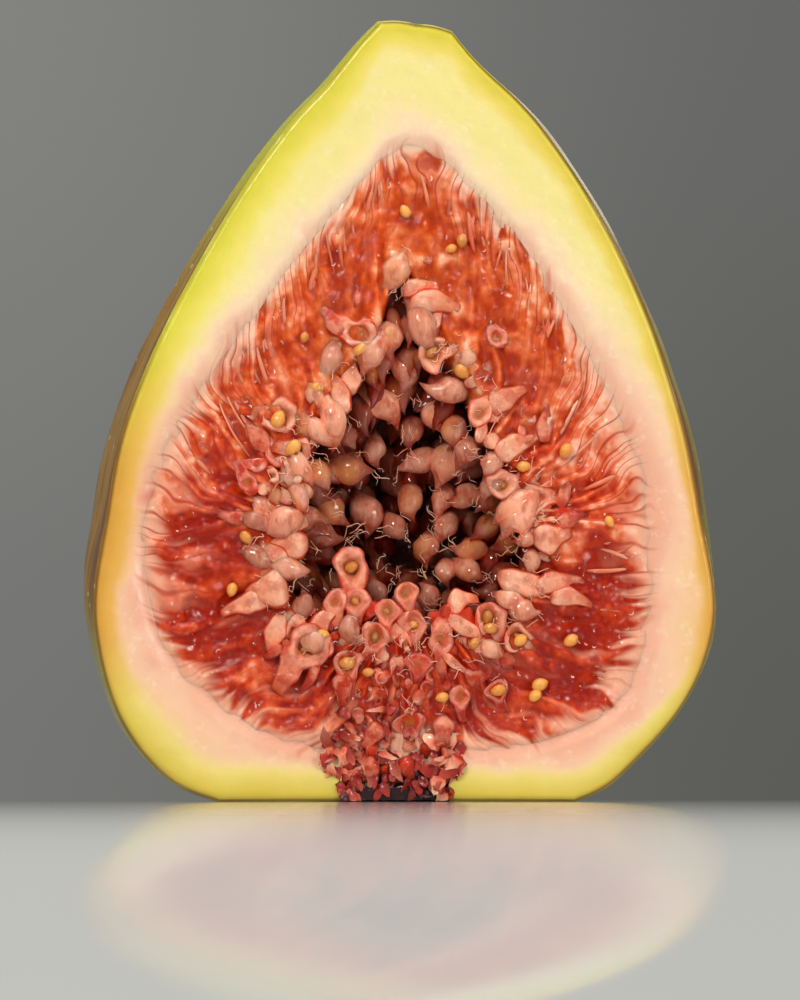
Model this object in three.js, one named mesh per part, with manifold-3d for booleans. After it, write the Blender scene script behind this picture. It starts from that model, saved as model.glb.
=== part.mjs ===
// Half of a fresh fig, cut from neck to eye and standing on its flattened base.
// Millimetres, +Z up. The cut face looks along -Y, and the origin is on the flat base, under the
// middle of the piece. Three bodies hold together: the rind with its pale flesh, the red pulp of
// florets that lines the hollow, and the scales that close the eye.
import * as THREE from "three";
import { mergeVertices } from "three/addons/utils/BufferGeometryUtils.js";
import Module from "manifold-3d";

// Driving dimensions
const CUT_Y = -10.2; // the knife's plane
const GAP = 0.3; // clearance between bodies that touch
const NECK_TILT = 0.13; // fall of the neck's cut end, per millimetre to the right
const EYE_X = -0.6; // middle of the eye
const EYE_RADIUS = 4.0;
const HEART_Z = 20.5; // height that the strands point to

// Profiles, as [radius, height] from the base up
const SKIN_FLAT_RADIUS = 13.2;
const SKIN = [
  [SKIN_FLAT_RADIUS, 0],
  [16.5, 1.6],
  [20.4, 6.0],
  [22.6, 11.2],
  [23.2, 16.6],
  [22.1, 25.2],
  [19.9, 32.2],
  [17.0, 38.5],
  [13.6, 44.4],
  [9.6, 49.9],
  [6.2, 53.4],
  [3.6, 56.3],
  [2.7, 57.3],
];
const NECK_TOP = 57.45;
const CORE = [
  [0, 3.9],
  [9.0, 4.6],
  [14.2, 7.0],
  [17.2, 10.8],
  [18.9, 15.6],
  [19.4, 20.0],
  [18.7, 24.4],
  [16.4, 29.4],
  [13.2, 34.6],
  [8.8, 41.0],
  [5.2, 45.5],
  [3.4, 47.8],
  [0, 49.6],
];
const HOLLOW = [
  [0, 12.2],
  [5.0, 12.9],
  [8.1, 14.9],
  [9.2, 18.0],
  [8.9, 21.2],
  [7.6, 24.4],
  [6.3, 27.2],
  [4.8, 30.0],
  [2.6, 32.6],
  [1.5, 35.0],
  [1.0, 37.2],
  [0, 39.0],
];

// Sideways drift of each body's middle, as [drift, height]
const SKIN_DRIFT = [
  [-0.5, 0],
  [-0.8, 3],
  [0.1, 12],
  [0.1, 27],
  [0.75, 42],
  [0.9, 57.6],
];
const CORE_DRIFT = [
  [0.9, 3.9],
  [1.0, 7.5],
  [-0.2, 12],
  [-0.5, 20],
  [0.1, 30],
  [0.9, 41],
  [0.4, 49.6],
];

// Where each body's middle lies behind the knife, and how deep it is for its width
const MIDDLE_SHARE_LOW = 0.07;
const MIDDLE_SHARE_HIGH = 0.25;
const DEPTH_LOW = 1.02;
const DEPTH_HIGH = 0.87;
const HOLLOW_BEHIND_CUT = 2.5;
const SLIT_BEHIND_CUT = 0.3;

// Facets
const SKIN_SIDES = 80;
const SKIN_ROWS = 24;
const SKIN_RIBS = 20;
const RIB_HEIGHT = 0.16;
const CORE_SIDES = 28;
const CORE_ROWS = 22;
const HOLLOW_SIDES = 18;
const HOLLOW_ROWS = 9;

// Outlines of the small repeats, as [share of radius, share of length] from root to tip
const BERRY = [
  [0, 0],
  [0.95, 0.22],
  [0.9, 0.62],
  [0.45, 0.9],
  [0, 1],
];
const DROP = [
  [0, 0],
  [1, 0.3],
  [0.72, 0.7],
  [0, 1],
];

// Small repeats
const FLORET_LENGTH = 3.3;
const FLORET_RADIUS = 1.35;
const FLORET_PITCH = 2.9;
const STRAND_COUNT = 52;
const STRAND_RADIUS = 0.42;
const SEED_RADIUS = 0.75;
const PROUD_LIMIT = 1.1; // the furthest that anything stands out of the cut face
const FAR = 60;

const manifold = await Module();
manifold.setup();

// A closed geometry as a solid, with its faces turned outwards.
function solidFrom(geometry) {
  const bare = geometry.clone();
  bare.deleteAttribute("normal");
  bare.deleteAttribute("uv");
  const merged = mergeVertices(bare, 1e-3);
  const corners = merged.index.array;
  const kept = [];
  for (let i = 0; i < corners.length; i += 3) {
    const [a, b, c] = corners.slice(i, i + 3);
    if (a !== b && b !== c && c !== a) kept.push(a, b, c);
  }
  const make = (triangles) =>
    new manifold.Manifold(
      new manifold.Mesh({
        numProp: 3,
        vertProperties: new Float32Array(merged.attributes.position.array),
        triVerts: new Uint32Array(triangles),
      }),
    );
  const solid = make(kept);
  return solid.volume() < 0 ? make(kept.reverse()) : solid;
}

// A solid as a geometry with flat faces.
function geometryFrom(solid) {
  const mesh = solid.getMesh();
  const geometry = new THREE.BufferGeometry();
  geometry.setAttribute("position", new THREE.BufferAttribute(mesh.vertProperties, 3));
  geometry.setIndex(new THREE.BufferAttribute(mesh.triVerts, 1));
  geometry.computeVertexNormals();
  return geometry;
}

function smoothstep(low, high, value) {
  const t = Math.min(1, Math.max(0, (value - low) / (high - low)));
  return t * t * (3 - 2 * t);
}

// A repeatable draw from 0 to 1: the kth property of the nth repeat.
function draw(n, k) {
  const wave = Math.sin(n * 12.9898 + k * 78.233) * 43758.5453;
  return wave - Math.floor(wave);
}

// The spline through [value, height] pairs, as a function of height.
function byHeight(pairs) {
  const samples = curveOf(pairs).getPoints(pairs.length * 12);
  return (z) => {
    const i = samples.findIndex((p) => p.y >= z);
    if (i <= 0) return i === 0 ? samples[0].x : samples[samples.length - 1].x;
    const [a, b] = [samples[i - 1], samples[i]];
    return a.x + ((b.x - a.x) * (z - a.y)) / Math.max(b.y - a.y, 1e-6);
  };
}

function curveOf(pairs) {
  return new THREE.SplineCurve(pairs.map(([value, z]) => new THREE.Vector2(value, z)));
}

const skinRadius = byHeight(SKIN);
const skinDrift = byHeight(SKIN_DRIFT);
const coreRadius = byHeight(CORE);
const coreDrift = byHeight(CORE_DRIFT);
const hollowRadius = byHeight(HOLLOW);

const depthAt = (z) => DEPTH_LOW + (DEPTH_HIGH - DEPTH_LOW) * smoothstep(6, 24, z);

// How far behind the knife the fig's own middle lies.
function middleAt(z) {
  const share = MIDDLE_SHARE_LOW + (MIDDLE_SHARE_HIGH - MIDDLE_SHARE_LOW) * smoothstep(8, 22, z);
  return CUT_Y + share * skinRadius(z);
}

function hollowMiddleAt(z) {
  const back = SLIT_BEHIND_CUT + (HOLLOW_BEHIND_CUT - SLIT_BEHIND_CUT) * smoothstep(34, 27, z);
  return CUT_Y + back;
}

// A round body whose ring at each height is moved by drift and middle and scaled by depth.
function turned(profile, sides, place) {
  const geometry = new THREE.LatheGeometry(profile, sides);
  const at = geometry.attributes.position;
  for (let i = 0; i < at.count; i++) {
    const [across, z, back] = [at.getX(i), at.getY(i), at.getZ(i)];
    const moved = place(Math.hypot(across, back), Math.atan2(back, across), z);
    at.setXYZ(i, moved.x, moved.y, moved.z);
  }
  return solidFrom(geometry);
}

function onSkin(radius, angle, z) {
  const fade = smoothstep(0, 8, z) * smoothstep(57, 45, z);
  const rib = RIB_HEIGHT * fade * Math.cos(SKIN_RIBS * angle);
  const ribbed = radius + (radius > SKIN_FLAT_RADIUS * 0.3 ? rib : 0);
  const x = skinDrift(z) + ribbed * Math.cos(angle);
  const fall = NECK_TILT * x * smoothstep(52, 57, z);
  return new THREE.Vector3(x, middleAt(z) + depthAt(z) * ribbed * Math.sin(angle), z - fall);
}

function inCore(radius, angle, z) {
  const x = coreDrift(z) + radius * Math.cos(angle);
  return new THREE.Vector3(x, middleAt(z) + depthAt(z) * radius * Math.sin(angle), z);
}

function inHollow(radius, angle, z) {
  const y = hollowMiddleAt(z) + DEPTH_HIGH * radius * Math.sin(angle);
  return new THREE.Vector3(radius * Math.cos(angle), y, z);
}

function block(low, high) {
  const size = high.clone().sub(low);
  const geometry = new THREE.BoxGeometry(size.x, size.y, size.z);
  const middle = low.clone().add(high).multiplyScalar(0.5);
  return solidFrom(geometry.translate(middle.x, middle.y, middle.z));
}

// Everything in front of the plane y, which the knife took away.
function inFrontOf(y) {
  return block(new THREE.Vector3(-FAR, -FAR, -FAR), new THREE.Vector3(FAR, y, FAR));
}

// The skin's closed outline, from the middle of the flat base to the middle of the neck's cut end.
function skinBody() {
  const side = curveOf(SKIN).getSpacedPoints(SKIN_ROWS);
  const base = new THREE.Vector2(0, 0);
  const neck = new THREE.Vector2(0, NECK_TOP);
  return turned([base, ...side, neck], SKIN_SIDES, onSkin);
}

function coreBody(inset) {
  const points = curveOf(CORE).getSpacedPoints(CORE_ROWS);
  const lowest = CORE[0][1];
  const highest = CORE[CORE.length - 1][1];
  const middle = (lowest + highest) / 2;
  const shrink = (p) => {
    const z = middle + (p.y - middle) * (1 - (2 * inset) / (highest - lowest));
    return new THREE.Vector2(Math.max(0, p.x - inset), z);
  };
  const ends = points.map(shrink);
  ends[0].x = 0;
  ends[ends.length - 1].x = 0;
  return turned(ends, CORE_SIDES, inCore);
}

function hollowBody() {
  const points = curveOf(HOLLOW).getSpacedPoints(HOLLOW_ROWS);
  points[0].x = 0;
  points[points.length - 1].x = 0;
  return turned(points, HOLLOW_SIDES, inHollow);
}

// The upright bore of the eye through the base, widening into the core.
function eyeBore(radius, low, high) {
  const wide = radius * 1.15;
  const profile = [
    new THREE.Vector2(0, low),
    new THREE.Vector2(radius, low),
    new THREE.Vector2(radius, (low + high) / 2),
    new THREE.Vector2(wide, high),
    new THREE.Vector2(0, high),
  ];
  const geometry = new THREE.LatheGeometry(profile, 20);
  geometry.rotateX(Math.PI / 2);
  return solidFrom(geometry.translate(EYE_X, middleAt(0), 0));
}

// A closed spindle along +Y from the origin, from [share of radius, share of length] pairs.
function spindle(profile, radius, length, sides) {
  const points = profile.map(([r, h]) => new THREE.Vector2(r * radius, h * length));
  return new THREE.LatheGeometry(points, sides);
}

// A geometry that stands along +Y, moved so that its foot is at from and it points towards.
function standing(geometry, from, towards) {
  const turn = new THREE.Quaternion().setFromUnitVectors(
    new THREE.Vector3(0, 1, 0),
    towards.clone().normalize(),
  );
  const one = new THREE.Vector3(1, 1, 1);
  return solidFrom(geometry.applyMatrix4(new THREE.Matrix4().compose(from, turn, one)));
}

// Whole florets on the hollow's wall, in rows a pitch apart, each aimed at the hollow's middle.
function hollowFlorets() {
  const curve = curveOf(HOLLOW);
  const rows = Math.round(curve.getLength() / FLORET_PITCH);
  const florets = [];
  let n = 0;
  for (let row = 0; row < rows; row++) {
    const at = curve.getPointAt((row + 0.5) / rows);
    const inRow = Math.max(1, Math.round((Math.PI * at.x) / FLORET_PITCH));
    for (let i = 0; i < inRow; i++) {
      n += 1;
      const share = (i + 0.5 + (row % 2) * 0.25 + 0.3 * (draw(n, 1) - 0.5)) / (inRow + 0.25);
      const root = inHollow(at.x, Math.PI * share, at.y);
      const heart = new THREE.Vector3(0, hollowMiddleAt(at.y), at.y * 0.6 + HEART_Z * 0.4);
      const aim = heart.sub(root).normalize();
      aim.add(new THREE.Vector3(draw(n, 2) - 0.5, -0.7 * draw(n, 3), -0.5 * draw(n, 4)));
      const size = (0.85 + 0.3 * draw(n, 5)) * Math.min(1, 0.55 + at.x / 10);
      const foot = root.clone().addScaledVector(aim.normalize(), -0.35 * FLORET_LENGTH * size);
      const berry = spindle(BERRY, FLORET_RADIUS * size, FLORET_LENGTH * size, 6);
      florets.push(standing(berry, foot, aim));
    }
  }
  return florets;
}

// How far a straight line on the cut face runs from the heart before it leaves a body.
function reach(angle, drift, radius, middle, step = 0.1) {
  let far = 2;
  for (; far < FAR; far += step) {
    const x = far * Math.cos(angle);
    const z = HEART_Z + far * Math.sin(angle);
    const inset = (middle(z) - CUT_Y) / depthAt(z);
    const half = Math.sqrt(Math.max(0, radius(z) ** 2 - inset ** 2));
    if (Math.abs(x - drift(z)) >= half) break;
  }
  return far;
}

const coreReach = (angle) => reach(angle, coreDrift, coreRadius, middleAt);
const hollowReach = (angle) => reach(angle, () => 0, hollowRadius, hollowMiddleAt);

// A point on the cut face, at a distance and direction from the heart.
function onFace(angle, distance, proud) {
  const z = HEART_Z + distance * Math.sin(angle);
  return new THREE.Vector3(distance * Math.cos(angle), CUT_Y - proud, z);
}

const isOverEye = (angle) => Math.sin(angle) < -0.93;

// Strands that run in from the pale flesh, each half sunk in the cut face.
function strands() {
  const made = [];
  for (let n = 0; n < STRAND_COUNT; n++) {
    const angle = (2 * Math.PI * (n + 0.4 * draw(n, 6))) / STRAND_COUNT;
    if (isOverEye(angle)) continue;
    const outer = coreReach(angle) - 0.7;
    const inner = hollowReach(angle);
    const length = (outer - inner) * (0.5 + 0.25 * draw(n, 7));
    const along = onFace(angle, 1, 0).sub(onFace(angle, 0, 0));
    const radius = STRAND_RADIUS * (0.8 + 0.5 * draw(n, 8));
    const drop = spindle(DROP, radius, length, 4);
    drop.scale(1, 1, 0.9);
    made.push(standing(drop, onFace(angle, outer - length, 0), along));
  }
  return made;
}

// Cut florets round the hollow's rim, in rings, and now and then a seed that shows in one.
function rimFlorets() {
  const made = [];
  const rings = [
    { count: 23, out: 0.5, size: 1.0 },
    { count: 23, out: 3.0, size: 0.85 },
  ];
  let n = 0;
  rings.forEach(({ count, out, size }, ring) => {
    for (let i = 0; i < count; i++) {
      n += 1;
      const angle = (2 * Math.PI * (i + ring * 0.5 + 0.4 * (draw(n, 9) - 0.5))) / count;
      if (isOverEye(angle) && ring > 0) continue;
      const distance = hollowReach(angle) + out + 0.8 * (draw(n, 10) - 0.5);
      const scale = size * (0.8 + 0.35 * draw(n, 11));
      const aim = new THREE.Vector3(-Math.cos(angle), -0.25, -Math.sin(angle));
      const drop = spindle(DROP, FLORET_RADIUS * 0.85 * scale, FLORET_LENGTH * scale, 5);
      const foot = onFace(angle, distance + 1.1, -0.25);
      made.push(standing(drop, foot, aim));
      if (draw(n, 12) < 0.36) made.push(seedAt(onFace(angle, distance + 0.4, 0.45)));
    }
  });
  return made;
}

function seedAt(place) {
  const ball = new THREE.SphereGeometry(SEED_RADIUS, 5, 3).scale(1, 1, 1.2);
  return solidFrom(ball.translate(place.x, place.y, place.z));
}

// The heap of small florets between the hollow and the eye.
function lowFlorets() {
  const made = [];
  const pitch = 2.5;
  let n = 100;
  for (let row = 0; row < 4; row++) {
    const z = 11.4 - row * 1.85;
    const half = 8.6 - row * 1.3;
    const count = Math.round((2 * half) / pitch);
    for (let i = 0; i < count; i++) {
      n += 1;
      const x = -half + (2 * half * (i + 0.5 + 0.5 * (draw(n, 13) - 0.5))) / count;
      const foot = new THREE.Vector3(x, CUT_Y + 0.9, z - 0.9);
      const aim = new THREE.Vector3(draw(n, 14) - 0.5, -0.9, 0.3 + draw(n, 15));
      const drop = spindle(DROP, FLORET_RADIUS * 0.75, FLORET_LENGTH * 0.72, 5);
      made.push(standing(drop, foot, aim));
      if (draw(n, 16) < 0.3) made.push(seedAt(new THREE.Vector3(x + 0.3, CUT_Y - 0.35, z)));
    }
  }
  return made;
}

// Scales in whorls that lean in over the eye, on the ring that they grow from.
function eyeScales() {
  const radius = EYE_RADIUS - GAP;
  const low = 0.25;
  const high = CORE[0][1] - 0.1;
  const cup = [
    [0, low + 0.5],
    [radius - 1.2, low],
    [radius, low],
    [radius, high - 0.6],
    [radius - 0.7, high - 0.3],
    [radius - 1.0, low + 1.2],
    [0, low + 1.4],
  ].map(([across, up]) => new THREE.Vector2(across, up));
  const geometry = new THREE.LatheGeometry(cup, 20);
  geometry.rotateX(Math.PI / 2);
  const middle = new THREE.Vector3(EYE_X, middleAt(0), 0);
  const made = [solidFrom(geometry.translate(middle.x, middle.y, 0))];
  const whorls = [
    { count: 11, from: radius - 0.6, z: 1.3, rise: 0.15, length: 3.0 },
    { count: 10, from: radius - 0.5, z: 2.0, rise: 0.45, length: 2.7 },
    { count: 9, from: radius - 0.4, z: 2.7, rise: 0.6, length: 2.3 },
  ];
  whorls.forEach(({ count, from, z, rise, length }, whorl) => {
    for (let i = 0; i < count; i++) {
      const angle = (2 * Math.PI * (i + whorl * 0.5)) / count;
      const inward = new THREE.Vector3(-Math.cos(angle), -Math.sin(angle), rise);
      const scale = spindle(DROP, 0.95, length, 4);
      scale.scale(1, 1, 0.45);
      const foot = new THREE.Vector3(from * Math.cos(angle), from * Math.sin(angle), z);
      foot.add(middle);
      if (foot.y > CUT_Y + GAP) made.push(standing(scale, foot, inward));
    }
  });
  const base = block(new THREE.Vector3(-FAR, -FAR, low), new THREE.Vector3(FAR, FAR, high));
  return manifold.Manifold.union(made).intersect(base).subtract(inFrontOf(CUT_Y));
}

function rindSolid() {
  const eye = eyeBore(EYE_RADIUS, -1, CORE[0][1] + 2);
  return skinBody().subtract(coreBody(0)).subtract(eye).subtract(inFrontOf(CUT_Y));
}

// The red mass between the rind and the hollow, with every floret, strand and seed grown into it.
function pulpSolid() {
  const limits = coreBody(GAP).subtract(inFrontOf(CUT_Y - PROUD_LIMIT));
  const bed = coreBody(GAP).subtract(hollowBody()).subtract(inFrontOf(CUT_Y));
  const grown = [...hollowFlorets(), ...strands(), ...rimFlorets(), ...lowFlorets()];
  return manifold.Manifold.union([bed, ...grown]).intersect(limits);
}

const rindMaterial = new THREE.MeshStandardMaterial({
  color: "#d9c86a",
  roughness: 0.45,
  metalness: 0,
});
const pulpMaterial = new THREE.MeshStandardMaterial({
  color: "#c04a2c",
  roughness: 0.25,
  metalness: 0,
});
const scaleMaterial = new THREE.MeshStandardMaterial({
  color: "#4a1218",
  roughness: 0.4,
  metalness: 0,
});

function named(name, solid, material) {
  const mesh = new THREE.Mesh(geometryFrom(solid), material);
  mesh.name = name;
  return mesh;
}

const fig = new THREE.Group();
fig.add(
  named("rind", rindSolid(), rindMaterial),
  named("pulp", pulpSolid(), pulpMaterial),
  named("eye_scales", eyeScales(), scaleMaterial),
);

export default fig;
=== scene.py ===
"""Half of a fresh fig, cut from neck to eye, standing on its flattened base with its cut face to -Y.

All sizes are in millimetres until a mesh is made. The rind, the pulp and the scales of the eye are
each rebuilt in finer detail on the same profiles as the solids, so every piece lies where they lie.
"""

import logging
import math
from dataclasses import dataclass
from enum import Enum
from typing import Callable

import bpy
import numpy as np
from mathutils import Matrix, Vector

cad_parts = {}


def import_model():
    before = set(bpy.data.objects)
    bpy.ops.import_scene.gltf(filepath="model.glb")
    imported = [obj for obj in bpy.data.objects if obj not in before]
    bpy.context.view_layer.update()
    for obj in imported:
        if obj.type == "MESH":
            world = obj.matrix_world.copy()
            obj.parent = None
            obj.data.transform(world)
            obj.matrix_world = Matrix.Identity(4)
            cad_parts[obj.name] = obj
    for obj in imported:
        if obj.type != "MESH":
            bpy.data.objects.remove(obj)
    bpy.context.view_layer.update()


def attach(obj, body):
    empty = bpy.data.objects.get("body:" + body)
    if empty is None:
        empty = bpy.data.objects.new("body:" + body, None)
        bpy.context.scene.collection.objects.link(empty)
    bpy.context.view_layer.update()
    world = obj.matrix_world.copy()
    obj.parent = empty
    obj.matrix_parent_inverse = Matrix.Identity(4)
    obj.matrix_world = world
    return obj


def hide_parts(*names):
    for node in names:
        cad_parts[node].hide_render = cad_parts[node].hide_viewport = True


log = logging.getLogger("fig")

Array = np.ndarray
Tree, Socket = bpy.types.NodeTree, bpy.types.NodeSocket
Material, Piece = bpy.types.Material, bpy.types.Object

MM = 0.001
PIXEL = 0.0736  # millimetres on the cut face for one pixel of the photograph
AXIS_PIXEL = 400
BASE_PIXEL = 803

CUT_Y = -10.2  # the knife's plane
HEART_Z = 20.5  # height that the strands point to
EYE_X = -0.6
EYE_RADIUS = 4.0
NECK_TILT = 0.13
NECK_TOP = 57.45
HASH_SIZE = 43758.5453  # the large factor of the sines that the draws are read from
HOLLOW_DEPTH = 0.87  # how deep the hollow is for its width
EDGE = 0.22  # how far the skin's cut edge lies behind the knife's plane
PROUD_LIMIT = 1.1  # the furthest that anything stands out of the cut face
FILM_IOR = 1.45  # of the fig's sugary juice
FACE = np.array([0.0, 1.0, 0.0])
LEAF_STEPS = 9
LEAF_SIDES = 10
FLORET_TINT = (1.0, 0.3, 0.18)  # how the florets' walls colour the light that they scatter


def smoothstep(low: float, high: float, value: Array) -> Array:
    """The smooth rise from 0 at low to 1 at high: t squared times (3 - 2t)."""
    t = np.clip((np.asarray(value, float) - low) / (high - low), 0, 1)
    return t * t * (3 - 2 * t)


def draw(n: Array, k: int) -> Array:
    """A repeatable draw from 0 to 1, for the kth property of the nth repeat: the fraction of a large sine."""
    wave = np.sin(np.asarray(n, float) * 12.9898 + k * 78.233) * HASH_SIZE
    return wave - np.floor(wave)


def spread(n: Array, k: int, low: float, high: float) -> Array:
    """A repeatable draw from low to high."""
    return low + (high - low) * draw(n, k)


def unit(vectors: Array) -> Array:
    """The same directions at length one."""
    return vectors / np.maximum(np.linalg.norm(vectors, axis=-1, keepdims=True), 1e-9)


def spline(points: Array, spans: int) -> Array:
    """Points on a uniform Catmull-Rom curve through the given ones.

    Each span is the cubic with the two points as its ends and half the distance between their
    neighbours as its end slopes.

    Args:
        points: The given points, one a row.
        spans: How many equal steps the whole curve is cut into.

    Returns:
        spans + 1 points.
    """
    last = len(points) - 1
    t = np.linspace(0, last, spans + 1)
    i = np.minimum(t.astype(int), last - 1)
    w = (t - i)[:, None]
    before, a = points[np.maximum(i - 1, 0)], points[i]
    b, after = points[i + 1], points[np.minimum(i + 2, last)]
    rise_a, rise_b = (b - before) / 2, (after - a) / 2
    cubic = (2 * a - 2 * b + rise_a + rise_b) * w**3
    return cubic + (-3 * a + 3 * b - 2 * rise_a - rise_b) * w**2 + rise_a * w + a


def evenly(points: Array, count: int) -> Array:
    """count points at equal steps of length along a polyline."""
    steps = np.linalg.norm(np.diff(points, axis=0), axis=1)
    along = np.concatenate([[0], np.cumsum(steps)])
    where = np.linspace(0, along[-1], count)
    return np.stack([np.interp(where, along, points[:, k]) for k in range(points.shape[1])], axis=1)


def noise(points: Array, size: float, seed: int) -> Array:
    """Smooth value noise from -1 to 1 with lumps of one size.

    Each corner of a cubic lattice has a repeatable draw, and a point takes the smooth blend of the
    eight corners round it.

    Args:
        points: Positions, in the last axis.
        size: The lattice's pitch, in the points' own unit.
        seed: Which of many lattices.

    Returns:
        One value a point.
    """
    scaled = points / size
    cell = np.floor(scaled)
    t = scaled - cell
    t = t * t * (3 - 2 * t)
    total = np.zeros(points.shape[:-1])
    for corner in np.ndindex(2, 2, 2):
        at = cell + np.array(corner)
        hashed = at @ np.array([127.1, 311.7, 74.7]) + seed * 53.3
        value = np.sin(hashed) * HASH_SIZE
        value -= np.floor(value)
        share = np.prod(np.where(np.array(corner) == 1, t, 1 - t), axis=-1)
        total += value * share
    return total * 2 - 1


def cells(u: Array, v: Array, seed: int) -> tuple[Array, Array, Array]:
    """Cells round one scattered middle in each square of a lattice.

    The distance from the nearest middle rises from 0 to where the next cell starts, and the gap to
    the second nearest falls to 0 there.

    Args:
        u: First coordinates, in cells.
        v: Second coordinates, in cells.
        seed: Which of many patterns.

    Returns:
        The distance from the nearest middle, the gap to the second nearest, and the cell's draw.
    """
    distances, draws = [], []
    for du in (-1, 0, 1):
        for dv in (-1, 0, 1):
            cu, cv = np.floor(u) + du, np.floor(v) + dv
            number = cu * 31.7 + cv * 57.3 + seed * 17.1
            off = np.hypot(cu + draw(number, 1) - u, cv + draw(number, 2) - v)
            distances.append(off)
            draws.append(draw(number, 3))
    distance, value = np.stack(distances), np.stack(draws)
    order = np.argsort(distance, axis=0)
    first = np.take_along_axis(distance, order[:1], 0)[0]
    second = np.take_along_axis(distance, order[1:2], 0)[0]
    return first, second - first, np.take_along_axis(value, order[:1], 0)[0]


def ridges(u: Array, v: Array, seed: int) -> Array:
    """Long crests from 0 to 1: one less the size of smooth noise, squared, so that crests are narrow."""
    wave = noise(np.stack([u, v, 0 * u], axis=-1), 1.0, seed)
    return np.clip(1 - 2.2 * np.abs(wave), 0, 1) ** 1.6


class Outline:
    """A body's radius or drift for each height, as the smooth curve through [value, height] pairs."""

    def __init__(self, pairs: list[list[float]]) -> None:
        """Samples the curve finely enough to read it by height."""
        self.points = spline(np.array(pairs, float), 12 * len(pairs))
        self.value = self.points[:, 0]
        self.height = np.maximum.accumulate(self.points[:, 1])

    def __call__(self, z: Array) -> Array:
        """The value at height z."""
        return np.interp(z, self.height, self.value)


SKIN = Outline(
    [
        [13.2, 0], [16.5, 1.6], [20.4, 6.0], [22.6, 11.2], [23.2, 16.6], [22.1, 25.2], [19.9, 32.2],
        [17.0, 38.5], [13.6, 44.4], [9.6, 49.9], [6.2, 53.4], [3.6, 56.3], [2.7, 57.3],
    ]
)
CORE = Outline(
    [
        [0, 3.9], [9.0, 4.6], [14.2, 7.0], [17.2, 10.8], [18.9, 15.6], [19.4, 20.0], [18.7, 24.4],
        [16.4, 29.4], [13.2, 34.6], [8.8, 41.0], [5.2, 45.5], [3.4, 47.8], [0, 49.6],
    ]
)
HOLLOW = Outline(
    [
        [0, 12.2], [5.0, 12.9], [8.1, 14.9], [9.2, 18.0], [8.9, 21.2], [7.6, 24.4], [6.3, 27.2], [4.8, 30.0],
        [2.6, 32.6], [1.5, 35.0], [1.0, 37.2], [0, 39.0],
    ]
)
SKIN_DRIFT = Outline([[-0.5, 0], [-0.8, 3], [0.1, 12], [0.1, 27], [0.75, 42], [0.9, 57.6]])
CORE_DRIFT = Outline([[0.9, 3.9], [1.0, 7.5], [-0.2, 12], [-0.5, 20], [0.1, 30], [0.9, 41], [0.4, 49.6]])
NECK_END = np.array([float(SKIN_DRIFT(NECK_TOP)), CUT_Y + EDGE, NECK_TOP - 0.1])


def depth_ratio(z: Array) -> Array:
    """How deep the fig is for its width: 1.02 at the base, 0.87 above."""
    return 1.02 + (0.87 - 1.02) * smoothstep(6, 24, z)


def middle_y(z: Array) -> Array:
    """The fig's own middle, behind the knife by 7% of its radius low down and 25% above."""
    return CUT_Y + (0.07 + 0.18 * smoothstep(8, 22, z)) * SKIN(z)


EYE_Y = float(middle_y(0))


def hollow_middle_y(z: Array) -> Array:
    """The hollow's middle: 2.5 mm behind the knife, and 0.3 mm in the slit above."""
    return CUT_Y + 0.3 + 2.2 * smoothstep(-34, -27, -np.asarray(z, float))


def hollow_y(x: Array, z: Array) -> Array:
    """Where the hollow's back wall is: its middle, and its depth ratio times the rest of the circle."""
    rest = np.maximum(HOLLOW(z) ** 2 - np.asarray(x, float) ** 2, 0)
    return hollow_middle_y(z) + HOLLOW_DEPTH * np.sqrt(rest)


class Ring:
    """A closed line on the cut face, read by its direction from the heart."""

    def __init__(self, radius: Outline, drift: Callable, middle: Callable) -> None:
        """Works out the line where a body of round sections meets the knife's plane.

        At each height the half-width is the other side of a right triangle, whose long side is the
        radius and whose short side is the middle's distance from the plane over the depth ratio.
        """
        z = np.linspace(radius.height[0] + 0.01, radius.height[-1] - 0.01, 600)
        inset = (middle(z) - CUT_Y) / depth_ratio(z)
        squared = radius(z) ** 2 - inset**2
        z, half = z[squared > 0], np.sqrt(squared[squared > 0])
        x = np.concatenate([drift(z) + half, (drift(z) - half)[::-1]])
        z = np.concatenate([z, z[::-1]])
        angle = np.arctan2(z - HEART_Z, x)
        order = np.argsort(angle)
        self.angle, self.far = angle[order], np.hypot(x, z - HEART_Z)[order]
        self.turn = np.linspace(-math.pi / 2, 1.5 * math.pi, 2000)
        steps = np.linalg.norm(np.diff(self.point(self.turn), axis=0), axis=1)
        self.length = np.concatenate([[0], np.cumsum(steps)])

    def along(self, angle: Array) -> Array:
        """The length of the line from below the heart, round the right side, to a direction."""
        turn = np.where(angle < -math.pi / 2, angle + 2 * math.pi, angle)
        return np.interp(turn, self.turn, self.length)

    def reach(self, angle: Array) -> Array:
        """The distance from the heart to the line in a direction."""
        return np.interp(angle, self.angle, self.far, period=2 * math.pi)

    def beyond(self, place: Array) -> Array:
        """How far outside the line an [x, z] place lies, seen from the heart."""
        away = place[:, 1] - HEART_Z
        return np.hypot(place[:, 0], away) - self.reach(np.arctan2(away, place[:, 0]))

    def point(self, angle: Array, out: Array = 0.0) -> Array:
        """The [x, z] point in a direction, moved out from the line by a distance."""
        far = self.reach(angle) + out
        return np.stack([far * np.cos(angle), HEART_Z + far * np.sin(angle)], axis=-1)


CORE_RING = Ring(CORE, CORE_DRIFT, middle_y)
HOLLOW_RING = Ring(HOLLOW, lambda z: 0 * z, hollow_middle_y)


def sway(angle: Array) -> Array:
    """How far round the heart a strand moves on its way in: the sine of twice its root's angle.

    Above the heart it leaves the flesh more nearly downwards than straight inwards, and below it
    more nearly level, so the sine has one sign and size above and another below.
    """
    return np.sin(2 * angle) * np.where(np.sin(angle) > 0, 0.42, -0.3)


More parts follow.
